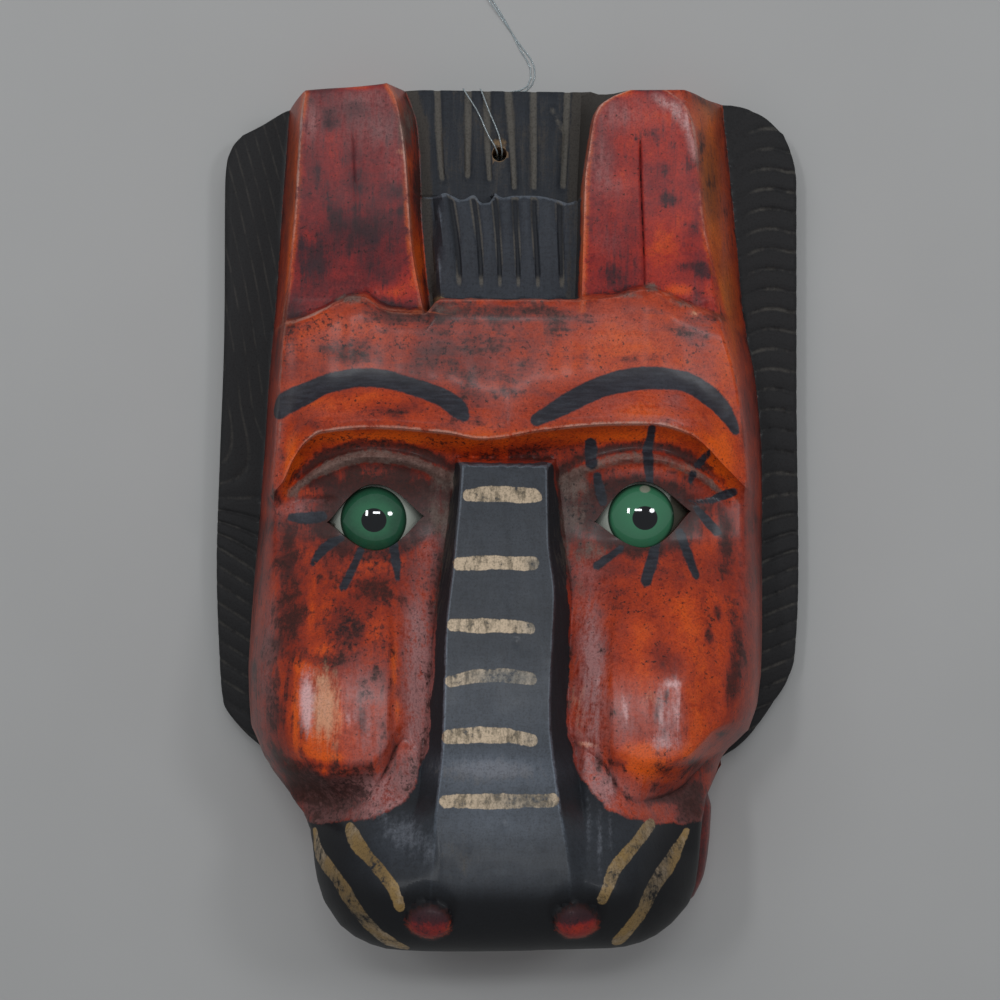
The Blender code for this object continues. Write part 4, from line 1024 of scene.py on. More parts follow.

# Soft dabs of each kind of colour, wear and painted light: (x, y, half width, half height, amount).
# Warmer and brighter orange, or darker red where the amount is under 0
WARM = ((-61.3, 122.3, 5, 7.2, 0.16), (-43, 117, 6.1, 5, 0.1), (-68.8, 89.8, 4.4, 8.2, 0.12),
        (-61.6, 113.4, 5, 4.4, 0.14), (-42.7, 100.8, 3, 3, 0.16), (-56.5, 80.6, 4.4, 6, 0.1),
        (-42.6, 70.3, 6, 3, 0.5), (-31.9, 81.5, 2, 10.4, 0.62), (-35.6, 117.1, 1, 3.9, 0.4),
        (-34.8, 72.6, 4.4, 4.9, 0.35), (-75.8, 82, 1.4, 11, 0.4), (-74.9, 116.5, 0.9, 16.5, 0.18),
        (-73.6, 62.7, 3.2, 3.8, -0.2), (10, 55, 24, 9, 0.05), (50, 130, 13, 10, 0.24),
        (51, 92, 12, 26, 0.13), (-56, 110, 15, 26, 0.08), (42, 47, 24, 16, 0.10), (48, 30, 24, 5, 0.10),
        (-54, -23, 15, 8, 0.14), (50, -88, 14, 6, 0.14), (-56, -80, 10, 8, 0.10),
        (-60, -68, 9, 12, 0.08), (30, -92, 5, 6, 0.14), (-54.5, 142.4, 6.1, 0.8, 0.55),
        (57.6, 115, 5, 6.1, 0.12), (53.9, 89.9, 6, 8.2, 0.22), (39.4, 115.9, 3.3, 6.1, 0.15),
        (58.8, 97.2, 4.4, 4.4, 0.14), (38.6, 80.8, 3.3, 3.3, 0.12), (58.4, 72.8, 6, 2.2, 0.62),
        (68.2, 79.6, 1.6, 14.2, 0.3), (24.9, 81.7, 0.9, 12.6, 0.4), (25.2, 106.8, 0.7, 8.8, 0.3),
        (36.4, 141.4, 6.1, 1.2, 0.45), (68.5, 133.7, 4.4, 5, 0.2), (73.1, 90.7, 3.3, 14.3, 0.18),
        (72.6, 69.7, 2.7, 6.6, 0.3), (-63.9, 58.1, 13.5, 5.4, 0.16), (-70.3, 51.2, 6.1, 4.7, 0.12),
        (-46.3, 56.6, 10.1, 4.7, 0.12), (37.2, 56.1, 20.2, 7.4, 0.12), (17.1, 47.3, 10.1, 6.7, 0.08),
        (-19.9, 49.5, 16.8, 8.1, -0.14), (75.8, 51.5, 4.7, 13.4, 0.2), (-3.2, 58.9, 20.2, 4, -0.06),
        (-63.1, 31.6, 8.3, 3.3, 0.18), (-42.6, 20.3, 26.7, 1.9, 0.26), (-73.4, 12.7, 2.2, 6.2, 0.5),
        (-47.1, 34.6, 6.7, 2.2, 0.12), (-7.6, 22.4, 11.1, 3.3, 0.18), (-45.6, 8.7, 6.2, 2.8, 0.22),
        (-68, 1.9, 5.1, 1.7, 0.26), (-45.2, -21.1, 6.2, 5.1, 0.2), (-70.5, -19.8, 3.9, 3.4, 0.1),
        (34, 21.9, 26, 2.5, 0.3), (71.6, 16.3, 5, 9.3, 0.5), (46, 29.4, 13.6, 3.1, 0.14),
        (25.6, 14.4, 7.5, 3.7, 0.2), (50.7, 11.7, 15.6, 1.5, 0.3), (68.1, -13.7, 5.6, 10, 0.2),
        (45, -19.1, 11.3, 4.4, 0.14), (75.4, 2.7, 2.5, 3.8, 0.3), (-64.8, -38.3, 1.5, 9.6, 0.22),
        (-60.3, -50, 3.2, 2.6, 0.34), (-59.8, -36.7, 2.1, 3.2, 0.22), (-66.3, -56.1, 3.2, 2.6, 0.36),
        (-68.2, -70.4, 1.5, 12.5, 0.55), (-65.1, -83, 3.1, 2.6, 0.32), (-56.8, -84.4, 5.2, 1.5, 0.52),
        (-60.1, -79.4, 3.6, 3.1, 0.3), (-63.9, -73.9, 1.6, 6.2, 0.3), (-53.8, -71.2, 0.8, 5.2, 0.32),
        (-36.6, -56.2, 1.2, 10, 0.46), (-35.1, -68.9, 0.8, 4.7, 0.42), (-53.8, -89.4, 10.4, 1.6, 0.22),
        (-41.3, -88.6, 3.6, 2.6, 0.22), (-78, -33.3, 1.3, 9.6, 0.18), (-75.1, -58.8, 1.3, 5.8, 0.15),
        (-43.2, -44.6, 3.2, 3.2, 0.16), (-48.7, -49.8, 8.4, 1.6, 0.1), (60.1, -38.1, 6.4, 9, 0.24),
        (45.6, -43.4, 4.2, 3.2, 0.2), (63.5, -63, 4.7, 17.3, 0.26), (46.2, -85.1, 6.7, 5.2, 0.34),
        (34.2, -63.4, 0.8, 11.5, 0.1), (44.2, -55.1, 3.2, 5.8, 0.16), (59.1, -81.2, 4.7, 3.6, 0.3),
        (48.2, -79.9, 6.2, 1.6, 0.3), (71.5, -56.8, 2.1, 12.6, 0.12), (49.2, -101.4, 7.4, 2.1, 0.16))
# Dark rubbed-in stain
STAIN = ((63, -100.5, 4.5, 5.5, 0.95), (-44, -33, 12, 7, 0.10), (22, -4, 6, 9, 0.3),
         (50.5, -66.5, 1.8, 5.5, 0.5), (-78, -58, 4.5, 34, 0.26), (66, 141.5, 5, 2.5, 0.5),
         (42, 144, 14, 1.6, 0.6), (-52, -27, 10, 7, 0.14), (-60, -36, 4, 12, 0.2),
         (-46, -44, 13, 9, 0.14), (-60, 52, 14, 8, 0.16), (-77, 20, 3, 20, 0.25),
         (-22, -30, 3, 16, 0.2), (-58, 100, 9, 24, 0.12), (-46, 124, 8, 12, 0.12),
         (-67.5, 80.4, 5.2, 8.2, 0.62), (-49.1, 91.8, 7.7, 6.6, 0.46), (-60.2, 96.1, 3, 6, 0.42),
         (-63.1, 129.6, 3, 3, 0.5), (-53.8, 134.8, 4.4, 3.3, 0.36), (-39, 106.4, 3.3, 3.8, 0.46),
         (-37.7, 98.6, 3, 2, 0.42), (-53.3, 109, 3, 5, 0.3), (-67.2, 113.3, 2, 3.3, 0.3),
         (-63.6, 103.3, 2.5, 4.4, 0.34), (-72.5, 84.2, 1.4, 5.5, 0.3), (-46.1, 79.6, 5.5, 4.4, 0.3),
         (-36.7, 131.1, 2.2, 9.4, 0.5), (-33, 109.3, 2.2, 12.7, 0.5), (-31.8, 75.9, 1.1, 1.6, 0.5),
         (34.2, 78, 6.6, 4.9, 0.46), (37.7, 119.2, 3, 1.7, 0.34), (50.9, 126.7, 6.1, 3.9, 0.42),
         (52.1, 114.9, 2.5, 5, 0.38), (53.2, 103.8, 2.5, 3.8, 0.34), (62.6, 93.9, 2, 3.3, 0.42),
         (61, 88.3, 2.5, 1.2, 0.5), (62.1, 81.1, 4.4, 2, 0.46), (67.1, 79, 2.5, 2.7, 0.85),
         (33, 95.7, 6, 6.6, 0.22), (65.8, 128, 2, 7.2, 0.4), (68.6, 111.8, 2.2, 11, 0.3),
         (64.4, 71.8, 2, 2.2, 0.7), (70.3, 63.7, 4.8, 1.6, 0.8), (77.3, 129.9, 0.9, 11, 0.2),
         (-23.2, 48.4, 20.1, 8.7, 0.36), (-3.1, 52.1, 20.2, 6.7, 0.20), (-35.3, 63, 20.2, 4, 0.5),
         (-3.3, 63.4, 23.6, 3.4, 0.44), (-74, 59, 6.1, 4.7, 0.5), (-77, 48.7, 5.4, 5.4, 0.3),
         (-53.5, 49.7, 10.1, 4.7, 0.3), (17, 57.5, 10.1, 6.7, 0.28), (-12.9, 33.3, 6.7, 8.7, 0.34),
         (64.1, 58.2, 8.1, 5.4, 0.35), (3.8, 35.2, 10, 8, 0.3), (22.1, 45.6, 8.7, 5.4, 0.25),
         (-37, 29.1, 6.1, 3.3, 0.36), (-69, 24.8, 5, 3.3, 0.3), (-25.9, 15.6, 16.7, 1.9, 0.5),
         (-54.9, 15.2, 16.7, 1.5, 0.85), (-35.9, 20.4, 1.4, 2.2, 0.8), (-62.5, 5.6, 6.2, 2.2, 0.55),
         (-51.7, 8.6, 2.2, 3.4, 0.6), (-35.5, 7.7, 2.8, 3.4, 0.6), (-25.9, 3.3, 6.7, 3.4, 0.5),
         (-18.5, 3.2, 2.8, 4.9, 0.6), (-30, -4.6, 5.2, 4.1, 0.3), (-74.5, -17, 2.8, 11.2, 0.4),
         (-78.7, -0.2, 2.8, 3.4, 0.5), (-31.1, -22, 3.4, 5.1, 0.25), (9.3, 16.7, 12.4, 2.5, 0.35),
         (29.7, -1.7, 5.6, 5.6, 0.7), (20.3, -1.9, 2.5, 11.3, 0.5), (74.4, -10.5, 2.3, 16.3, 0.5),
         (26.2, -16.2, 5, 3.8, 0.35), (68, -1.2, 3.8, 3.1, 0.3), (37.8, 5.9, 7.5, 2.5, 0.4),
         (-51.3, -42.2, 9.5, 7.5, 0.22), (-70.9, -35.8, 4.3, 11.8, 0.38),
         (-69.7, -51.1, 3.7, 4.2, 0.36), (-43.8, -30.7, 4.8, 4.3, 0.3), (-77.3, -48.7, 1.9, 1.6, 0.5),
         (-74.4, -73, 2.1, 3.1, 0.34), (-74, -86, 4, 4, 0.3), (-66.1, -83.5, 1.6, 1.6, 0.5),
         (-46.2, -73.1, 0.9, 4.4, 0.85), (-42.6, -56.3, 1.1, 2.6, 0.45), (-35.5, -84, 0.6, 4.0, 0.3),
         (-30, -85.5, 3.2, 0.5, 0.4), (-58, -53.5, 7.4, 1.3, 0.26), (40, -33.2, 5.9, 4.8, 0.36),
         (51.1, -51.9, 3.2, 5.3, 0.36), (77.3, -43, 2.9, 12.7, 0.5), (76.2, -59.2, 3.1, 7.9, 0.5),
         (67.8, -43.6, 1.2, 3.7, 0.75), (70.7, -37.4, 1.4, 2.7, 0.75), (65.9, -32.3, 1, 3.2, 0.6),
         (72.1, -77, 2.1, 1.4, 0.7), (61.9, -86, 4.2, 2.6, 0.45), (52.6, -87.3, 2.6, 1.9, 0.5),
         (37.4, -85.2, 2.3, 1.9, 0.6), (52.1, -93.7, 4.2, 1.9, 0.45), (67.5, -90, 6.8, 2.6, 0.45),
         (57.5, -98.3, 8.4, 1.6, 0.85), (32.2, -48.7, 2.6, 3.7, 0.3), (53, -63.1, 0.5, 3.1, 0.9),
         (49.1, -67.2, 0.6, 4.2, 0.6), (51.6, -73.8, 0.6, 3.1, 0.6), (35.8, -68.9, 0.9, 1, 0.6),
         (30.7, -85.3, 2.1, 3.1, 0.4), (36.3, -92.8, 1, 3.1, 0.5))
# Brown grey dust held by dull varnish
GRIME = ((-4, -87.0, 15, 3.2, 0.9), (-12, -113, 8, 6, 0.35), (0, 128, 26, 14, 0.35),
         (-37, 132, 2.5, 10, 0.75), (27, -58, 3, 18, 0.25), (-52.7, 76, 2.0, 5.0, 0.35),
         (-54.1, 67.9, 6.6, 2.2, 0.9), (-37.6, 63.8, 3.2, 0.9, 0.6), (48, 73.2, 3, 2.5, 0.95),
         (39.8, 69.8, 6.6, 0.9, 0.7), (58.6, 68, 4.9, 1.8, 0.75), (54.5, 71.6, 2.7, 1.6, 0.6),
         (-25.1, 70.2, 3.3, 1.6, 0.8), (-2.1, 68.3, 22.9, 1, 0.7), (-20.9, 64.1, 5.4, 2.2, 0.5),
         (-22.4, -5.1, 6.2, 8.4, 0.75), (-20.9, 6.8, 5.1, 3.4, 0.8), (-73.6, 1, 3.4, 3.4, 0.5),
         (-19.4, -19.1, 2.8, 7.9, 0.5), (-32.4, -16.4, 4.5, 3.4, 0.3), (23.5, -4.3, 6.9, 8.8, 0.55),
         (28.7, -17.4, 7.5, 5, 0.6), (18.7, -20.7, 2.5, 12.5, 0.5), (23.4, 5.1, 5.6, 3.8, 0.7),
         (78.6, 0.8, 1.9, 3.1, 0.5), (-22.8, -35.1, 2.1, 10.7, 0.4), (-72.9, -87.3, 6.2, 3.1, 0.4),
         (25.6, -29.7, 3.2, 4.3, 0.5), (65.7, -87.7, 7.3, 2.6, 0.15))
# Black specks, thick in some places and nearly none in others
SPECKS = ((-67.7, 88.7, 8.8, 11, 0.5), (-49.6, 89, 11, 11, 0.4), (-35.6, 72.6, 5.5, 5.5, 0.6),
          (36.8, 101.3, 11, 8.8, 0.35), (53.3, 101.6, 8.2, 8.2, 0.3), (64.4, 71.2, 5.5, 4.4, 1.2),
          (-63.8, 56.4, 16.8, 8.4, 1), (-36.8, 55, 20.2, 8.4, 0.9), (-3.2, 53.8, 20.2, 10.1, 0.8),
          (-12.9, 36.6, 20.1, 10, 0.6), (43.9, 57.9, 16.8, 6.7, 0.4), (23.8, 43.9, 20.1, 8.4, 0.3),
          (60.7, 51.3, 6.7, 13.4, 0.6), (-59.2, 19.5, 16.7, 1.7, 1.3), (-23.1, 19.5, 8.9, 1.7, 1.3),
          (-42.8, 8.7, 9, 3.4, 1), (-45.3, 29.6, 7.7, 3.9, 0.7), (-45.3, -19.4, 14.6, 6.2, 0.8),
          (9.3, 17.3, 17.4, 2.5, 1), (40.3, 19.5, 18.6, 2.5, 0.3), (50.9, 6.1, 13.8, 3.1, 0.5),
          (53.7, -23.3, 18.8, 7.5, 0.7), (24.7, -1.8, 6.9, 7.5, 1.1), (-52.3, -41.7, 11.7, 9.6, 1.2),
          (-58, -53.5, 10.5, 3.2, 0.6), (-45.2, -58.4, 7.9, 7.9, 0.4), (-49.8, -92.2, 13.1, 4.2, 0.4),
          (38.8, -35.8, 9.6, 8, 0.7), (58.6, -34, 10.7, 6.4, 0.6), (67.9, -41.6, 3.2, 13.3, 1),
          (49.1, -49.4, 6.9, 5.3, 0.7), (54.1, -86.7, 13.5, 7.3, 0.8), (64.6, -61.9, 4.7, 15.7, 0.6))
# Bloom: varnish rubbed dull and pinkish grey, and painted reflection: the pale pinkish veil where the
# varnish mirrors the light
BLOOM_AND_REFLECTION = ((48, 41, 18, 4, 0.3), (-50, 130, 16, 10, 0.30), (55, 136, 12, 8, 0.18), (-70, -4, 9, 2.2, 0.5),
         (46, 11, 12, 3, 0.35), (-80, -55, 3.5, 26, 0.25), (-40, -97, 9, 7, 0.5),
         (29, -62, 4, 22, 1.15), (-28, -60, 4.5, 26, 1.15), (31, -95, 6, 6, 0.5),
         (-69.7, 130.1, 3.3, 6.6, 0.6), (-50.1, 138.8, 12.1, 2.8, 0.34), (-44.3, 126.5, 6.1, 5.5, 0.22),
         (-39.6, 113.7, 3.3, 5.5, 0.3), (36.5, 134.3, 7.2, 5, 0.55), (30.6, 116.9, 3.9, 9.4, 0.5),
         (35.1, 109.1, 6, 3.8, 0.3), (33.1, 89.1, 4.9, 4.9, 0.18), (75.2, 96.3, 2.2, 27.4, 0.22),
         (-60.4, 56.4, 23.6, 10.1, 0.1), (-13.2, 52, 30.3, 10.1, 0.16), (30.5, 61.1, 20.2, 5.4, 0.2),
         (43.9, 54.5, 20.2, 4.7, 0.15), (-2.9, 33.4, 20, 13.4, 0.14), (64.1, 59.9, 5.4, 10.1, 0.4),
         (-59.1, 27.7, 11.1, 3.3, 0.14), (-14.8, 24.5, 8.9, 3.3, 0.14), (-71.9, -4.1, 3.4, 3.4, 0.3),
         (-24.5, -12, 4.5, 12, 0.55), (-65.2, -1.2, 6.2, 0.6, 0.5), (-28.4, -20.9, 4.5, 6.2, 0.3),
         (-77.9, 13.8, 1.7, 22.3, 0.3), (52.2, 27, 9.9, 1.2, 0.6), (41.1, 30.7, 18, 5.5, 0.30),
         (55.3, 34.5, 4.9, 3.1, 0.3), (26.2, -23, 5.6, 5.6, 0.4), (81.1, -1, 1.9, 31.3, 0.10),
         (-46, -63.5, 7.8, 9.9, 0.5), (-30.5, -41.9, 4.2, 12.2, 0.4), (-29.7, -68.3, 4.2, 10.4, 0.3),
         (-42.4, -78.6, 6.8, 7.3, 0.5), (-39.4, -99.9, 5.8, 5.8, 0.55), (-28.8, -80.9, 2.6, 4.7, 0.35),
         (-79.5, -53.8, 3.2, 21, 0.28), (27.1, -38.5, 3.7, 7.5, 0.4), (29.1, -49.7, 3.2, 3.7, 0.55),
         (39.4, -69.9, 4.2, 8.9, 0.55), (52.5, -69.7, 5.7, 8.9, 0.6), (27.6, -87.1, 3.6, 5.2, 0.35),
         (81.6, -33.6, 2.7, 10.7, 0.1), (33.7, -92.8, 3.1, 3.1, 0.45), (54.5, -78.8, 4.7, 2.1, 0.5),
         (22.2, -72.7, 2.6, 13, 0.3), (79.4, -56.7, 1.6, 15.7, 0.1))
# Painted highlights where the varnish mirrors the light, and bright scuffs
PAINTED_HIGHLIGHTS_AND_SCRAPES = ((-4, -86.5, 14, 3.2, 1.3), (-59.5, -66, 6, 9, 0.22), (-32, -107, 7, 5, 0.6),
         (-24, -112, 5, 5, 0.3), (27.5, -104, 1.0, 9, 0.5), (31, -106, 0.9, 11, 0.6),
         (34.5, -105, 0.8, 8, 0.45), (52, -66, 4, 9, 0.3), (-45, -72, 6, 8, 0.22),
         (-65.0, -66.2, 2.2, 8.3, 1.25), (-63.9, -74, 1.4, 5, 0.5), (-50.2, -71.9, 0.7, 2.1, 0.7),
         (39.8, -68.9, 0.6, 2.9, 1), (38.4, -66.4, 0.5, 3.1, 0.6), (30.8, -59.9, 0.5, 2.6, 0.8),
         (56.8, -67.1, 0.9, 11, 0.7), (54.5, -59.5, 3.0, 2.0, 0.55), (51.5, -78, 4.5, 2.6, 0.6),
         (51, -69.7, 0.4, 3.6, 0.6), (54.7, -59.5, 3.1, 0.7, 0.4), (-73, 128.3, 0.8, 6.1, 0.5),
         (28, -79.7, 2.1, 1, 0.6), (35.1, -91, 0.7, 3.1, 0.5), (-39.4, -101.5, 2.1, 2.1, 0.4),
         (52.9, 26.1, 6.8, 0.5, 0.7), (-23, -2.3, 0.4, 0.4, 0.6))
# Patches where the paint is rubbed through to the ground and the wood
RUBBED = ((-58.6, -69, 5.6, 12, 0.62), (-58.6, -69, 4.0, 9, 0.58), (-4.3, 127.6, 2.4, 1.2, 1.3),
          (-60.9, -59.6, 3.1, 2.1, 0.4), (47.3, -64.2, 2.6, 3.1, 0.55), (24.3, -67.6, 3.1, 8.4, 0.35),
          (27.5, -79.9, 2.6, 0.9, 0.7), (-38.6, 119.6, 1.3, 0.8, 0.6), (62.8, 64.6, 1.4, 1.1, 0.9),
          (-25.1, 70.2, 1.9, 0.7, 2), (59, -52.3, 0.9, 1.6, 0.4), (62.2, -51.3, 2.1, 0.4, 0.4))
# Pale lines along the carved edges: worn paint, and painted glints of the varnish
WEAR_AND_GLINT = ((-74.5, 122, 5, 22, 1.0), (-76, 84, 5, 16, 0.35), (-37.5, 122, 4, 14, 0.8),
        (-35, 98, 4, 14, 0.45), (27, 112, 5, 22, 0.7), (33, 138, 7, 5, 0.8), (44, 142, 14, 3, 0.7),
        (61, 128, 6, 12, 0.6), (65, 92, 5, 12, 0.45), (-64, 62.5, 12, 5, 0.9), (-40, 63, 10, 3, 0.3),
        (0, 68, 26, 4, 0.35), (-58, 22, 24, 5, 0.75), (-25, 22, 16, 4, 0.6), (0, 22, 16, 4, 0.55),
        (44, 26, 24, 4, 0.85), (20, 24, 12, 4, 0.45), (-20, -70, 4, 34, 0.9), (-17, 0, 4, 14, 0.3),
        (17, -90, 5, 22, 0.9), (14, -40, 4, 30, 0.25), (14, 0, 4, 14, 0.2))
# Edges where bright orange shows
EMBER = ((-77, 92, 6, 34, 0.9), (-73, 136, 5, 8, 0.8), (-36, 88, 5, 26, 0.9), (-42, 139, 6, 6, 0.8),
         (-55, 142, 14, 3, 0.5), (26, 100, 4, 40, 0.9), (34, 140, 9, 5, 0.9), (45, 142.5, 14, 2.5, 0.7),
         (62, 133, 5, 10, 0.6), (68, 84, 6, 22, 0.8), (78, 60, 5, 10, 0.6), (-30, 64, 9, 3, 0.5),
         (-20, 20.5, 40, 3, 0.5), (15, 23, 20, 3, 0.6), (50, 24, 30, 3, 0.4))
# Brass yellow brown where the varnish has gathered on the outer side of the ears
AMBER = ((69, 112, 6, 26, 0.8), (76, 72, 5, 16, 0.6), (70, 140, 6, 4, 0.5), (-77, 110, 3, 30, 0.3))
# Pale lavender band of painted reflection across the upper corner of the right ear
BAND = ((49.5, 140.2, 0.8), (55.8, 136.3, 2.0), (60.0, 132.4, 2.2), (62.0, 126.3, 1.4),
        (63.3, 118.5, 0.5))
# Gold worn down to the black, and pale dust with painted bluish reflection on the snout
WORN_GOLD = ((2, -58, 14, 4, 0.95), (36, -122, 10, 16, 0.45), (52, -126, 8, 22, 0.75),
             (-50, -130, 14, 18, 0.75), (-40, -118, 6, 12, 0.5), (12, -21, 4, 4, 0.3),
             (6, -96, 12, 4, 0.5), (10, -21, 4, 3, 0.35), (9, -41.5, 4, 3, 0.5), (9, -77, 4, 3, 0.35))
SNOUT_DUST_AND_REFLECTION = ((-4, -87.0, 17, 4.6, 0.95), (-2, -101, 16, 5, 0.3), (-34, -108, 9, 7, 0.22),
              (30, -106, 6, 10, 0.12), (44, -104, 8, 9, 0.15), (-46, -104, 8, 8, 0.10))

# Down the side of the block: below the upper lip, and far enough down that the front's paint ends
UNDER_LIP = 2.185
DOWN_SIDE = 2.1
# The cutters leave walls of part 0, which are bare wood below this height and painted above it
BARE_BELOW = 41
REACH = 6.0


def kept_near(distance):
    """A distance from an edge, kept within the few millimetres that the paint reads."""
    return np.clip(distance, -REACH, REACH)


def paint_fields(mesh):
    """Gives every point its distances inside each painted area and the strength of each finish."""
    x, y, z = point_places(mesh)
    part = np.empty(len(x), np.float32)
    mesh.attributes["part"].data.foreach_get("value", part)
    top = part <= 1

    # Areas of black, gold and charcoal, with the unevenness of a hand-held brush
    hand = 0.45 * uneven(x, y, 4.0, 7) + 0.25 * uneven(x, y, 1.7, 8)
    inward = from_outline(x, y)
    over_base = y - ear_base(x)
    last_black = mix(wall_right(y) + 0.9, inner_right(y) - 0.8, ease(100, 118, y))
    forelock = np.minimum(np.minimum(x - wall_left(y) - 0.4, last_black - x), over_base - 0.8)
    on_board = np.where(y > BOARD_END, -inward, -9.0)
    domes = [5.8 * (1 - np.hypot((x - nx) / 6.8, (y - ny + 0.4) / 5.9)) for nx, ny in NOSTRILS]
    nostril = np.max(domes, axis=0)
    black = np.maximum(np.maximum(inside(x, y, SNOUT) + hand, forelock + 0.4 * hand), on_board)
    black = np.minimum(black * mix(1, 0.34, ease(-80, -92, y) * ease(-112, -104, y)), -0.2 * nostril)
    below_lip = (part >= UNDER_LIP) & (y < -95)
    give(mesh, "black", np.where(below_lip, -REACH, kept_near(black)))
    gold = np.max([brushed(x, y, *stripe) for stripe in GOLD], axis=0) + 0.5 * hand
    give(mesh, "gold", np.where(part > DOWN_SIDE, -REACH, kept_near(gold)))
    give(mesh, "worn_gold", dabs(x, y, WORN_GOLD))
    give(mesh, "brassy", ease(-101, -105, y) * ease(26, 32, np.abs(x)))
    marks = np.max([brushed(x, y, *stroke) for stroke in (*BROWS, *LASHES)], axis=0)
    give(mesh, "marks", np.where(top, kept_near(marks + 0.3 * hand), -REACH))

    # Gouged mane strokes and scored forelock
    mane = np.where(part > DOWN_SIDE, 0.0, ease(-0.4, 0.8, on_board))
    give(mesh, "mane", mane)
    give(mesh, "stroke_number", mane_strokes(x, y))
    give(mesh, "stroke_shown", np.where(x < 0, mix(0.5, 0.7, ease(40, -30, y)), ease(84, 89, x)))
    in_lock = ease(-0.5, 0.5, forelock)
    on_strip = ease(-0.5, 0.8, y - lock_top(x))
    cuts = forelock_cuts(x, y)
    give(mesh, "scored", mix(3.4 * cuts * (1 - cuts), cuts, on_strip) * in_lock * top)
    # Painted shade in the slots scored into the forelock's block
    give(mesh, "slot", ease(0.55, 0.95, cuts) * (1 - on_strip) * in_lock * top)

    # Where the varnish is dull, and what stands out or lies in a crease
    lower_inner = np.minimum(x - wall_left(y), wall_right(y) - x)
    in_gap = (y < 14) * ease(-100, -94, y) * ease(0.3, -0.7, lower_inner)
    in_gap = in_gap * ease(-0.5, 0.5, inside(x, y, SNOUT))
    matte = np.maximum(np.maximum(mane, 0.95 * in_lock * top),
                       np.maximum(in_gap, 0.6 * ease(-1, 0.5, nostril)))
    matte = np.maximum(matte, 0.7 * ease(0, 1.5, over_base) * ease(106, 84, y) * top)
    fine, wide = stand_out(x, y, 0.8, 4.0)
    lip = (y < BOARD_END) * ease(3.5, 1.0, inward)
    # What stands out, for pale lines of worn paint and painted glints
    give(mesh, "edge", np.where(top, np.clip((fine - 0.14) / 0.6, 0, 1) * (1 - lip), 0))
    crease = np.clip(-fine / 0.5, 0, 1) * 0.6 + np.clip(-wide / 4.0, 0, 1) * 0.5
    give(mesh, "crease", np.where(top, crease, 0.25))

    # Distances from the carved edges along which the paint is worn
    give(mesh, "past_edge", kept_near(np.maximum(edge_left(y) - x, x - edge_right(y))))
    upper_inner = np.minimum(x - inner_left(y), inner_right(y) - x)
    past_inner = mix(lower_inner, upper_inner, ease(16, 56, y)) - 40 * ease(8, 14, y) * ease(64, 58, y)
    give(mesh, "past_inner", kept_near(past_inner))
    give(mesh, "off_fold", kept_near(np.where(x < 0, x - fold_left(y), x - fold_right(y))))
    give(mesh, "folded", np.where(x < 0, 0.45 * ease(96, 112, y) * ease(132, 124, y),
                                  ease(72, 76, y) * ease(131, 124, y)) * top)
    give(mesh, "off_forehead", kept_near(np.maximum(over_base, brow_edge(x) - y)))
    # Pale lines along the edges: worn paint, and painted glints
    give(mesh, "wear_and_glint", np.where(top, dabs(x, y, WEAR_AND_GLINT), 0))
    give(mesh, "ember", np.where(top, dabs(x, y, EMBER), 0))

    # How warm and bright the red is, and where it turns to crimson or brass brown
    ears = ease(0, 1.5, over_base) * (1 - in_lock)
    in_ear = ears * ease(0.4, -0.4, np.where(x < 0, x - inner_left(y), inner_right(y) - x))
    flank = np.where(x < 0, (edge_left(y) - x) / (edge_left(y) - foot_left(y)),
                     (x - edge_right(y)) / (foot_right(y) - edge_right(y)))
    past = ease(-0.02, 0.08, flank)
    flank = ease(0.0, 0.35, flank)
    brow_drop = brow_edge(x) - y
    under_brow = ease(-0.5, 0.8, brow_drop) * ease(10.5, 6.5, brow_drop) * ease(80, 74, np.abs(x))
    hollow = ease(5, 9, brow_drop) * ease(-34, -22, y)
    # Under the brow edge the orange is painted warmer and brighter: painted light bounced up under the brow
    warmth = 0.60 - 0.16 * in_ear * (1 - past) + mix(0.05, 0.15, x < 0) * under_brow
    warmth = warmth - 0.10 * hollow - 0.08 * flank
    warmth = warmth + (x > 0) * in_ear * mix(0.15, 0.06, past) + dabs(x, y, WARM)
    near_snout = ease(-9, -1, black) * ease(-74, -90, y) * (black < 0) * (nostril < -3)
    near_snout = near_snout * ease(72, 60, np.abs(x))
    warmth = warmth - mix(0.08, 0.16, x < 0) * near_snout
    warmth = np.where(below_lip, 0.47, warmth)
    warmth = np.where(nostril > -2.5, 0.36 + 0.30 * ease(-128.5, -134.5, y), warmth)
    give(mesh, "warmth", warmth)
    rose = in_ear * (1 - past) * ease(-2, 3, over_base)
    rose = np.maximum(rose, ease(0, 1, nostril))
    give(mesh, "rose", np.where(below_lip, 0.7, rose))
    give(mesh, "amber", np.where(top, dabs(x, y, AMBER) * past, 0.1))

    # Dark stain, darker over and round the eyes, with painted shade under the turned-down cheeks and deep in
    # the mouth slot
    stain_and_shade = 0.16 + dabs(x, y, STAIN) + 0.06 * hollow + 0.08 * flank * (y < 60)
    ridges = np.clip(lid_ridges(x, y) / 1.5, 0, 1)
    above_lid, lid = lid_lines(x, y)
    stain_and_shade = stain_and_shade * (1 - 0.7 * ridges) * (1 - mix(0.3, 0.6, x < 0) * under_brow)
    stain_and_shade = stain_and_shade + 1.1 * np.sqrt(lid) * np.exp(-((above_lid - 4.2) / 1.9) ** 2) * np.where(x < 0, 1.0, 0.75)
    stain_and_shade = stain_and_shade + lid * ease(0, -4, above_lid) * ease(-26, -16, above_lid) * np.where(x < 0, 0.34, 0.12)
    from_eye = [np.hypot((x - ex) / 17.2, (y - ey) / 12.0) for ex, ey in EYES.values()]
    from_eye = np.where(x < 0, *from_eye)
    stain_and_shade = stain_and_shade + 0.55 * ease(1.35, 0.95, from_eye) + 0.12 * (x < 0) * ease(10, -20, y)
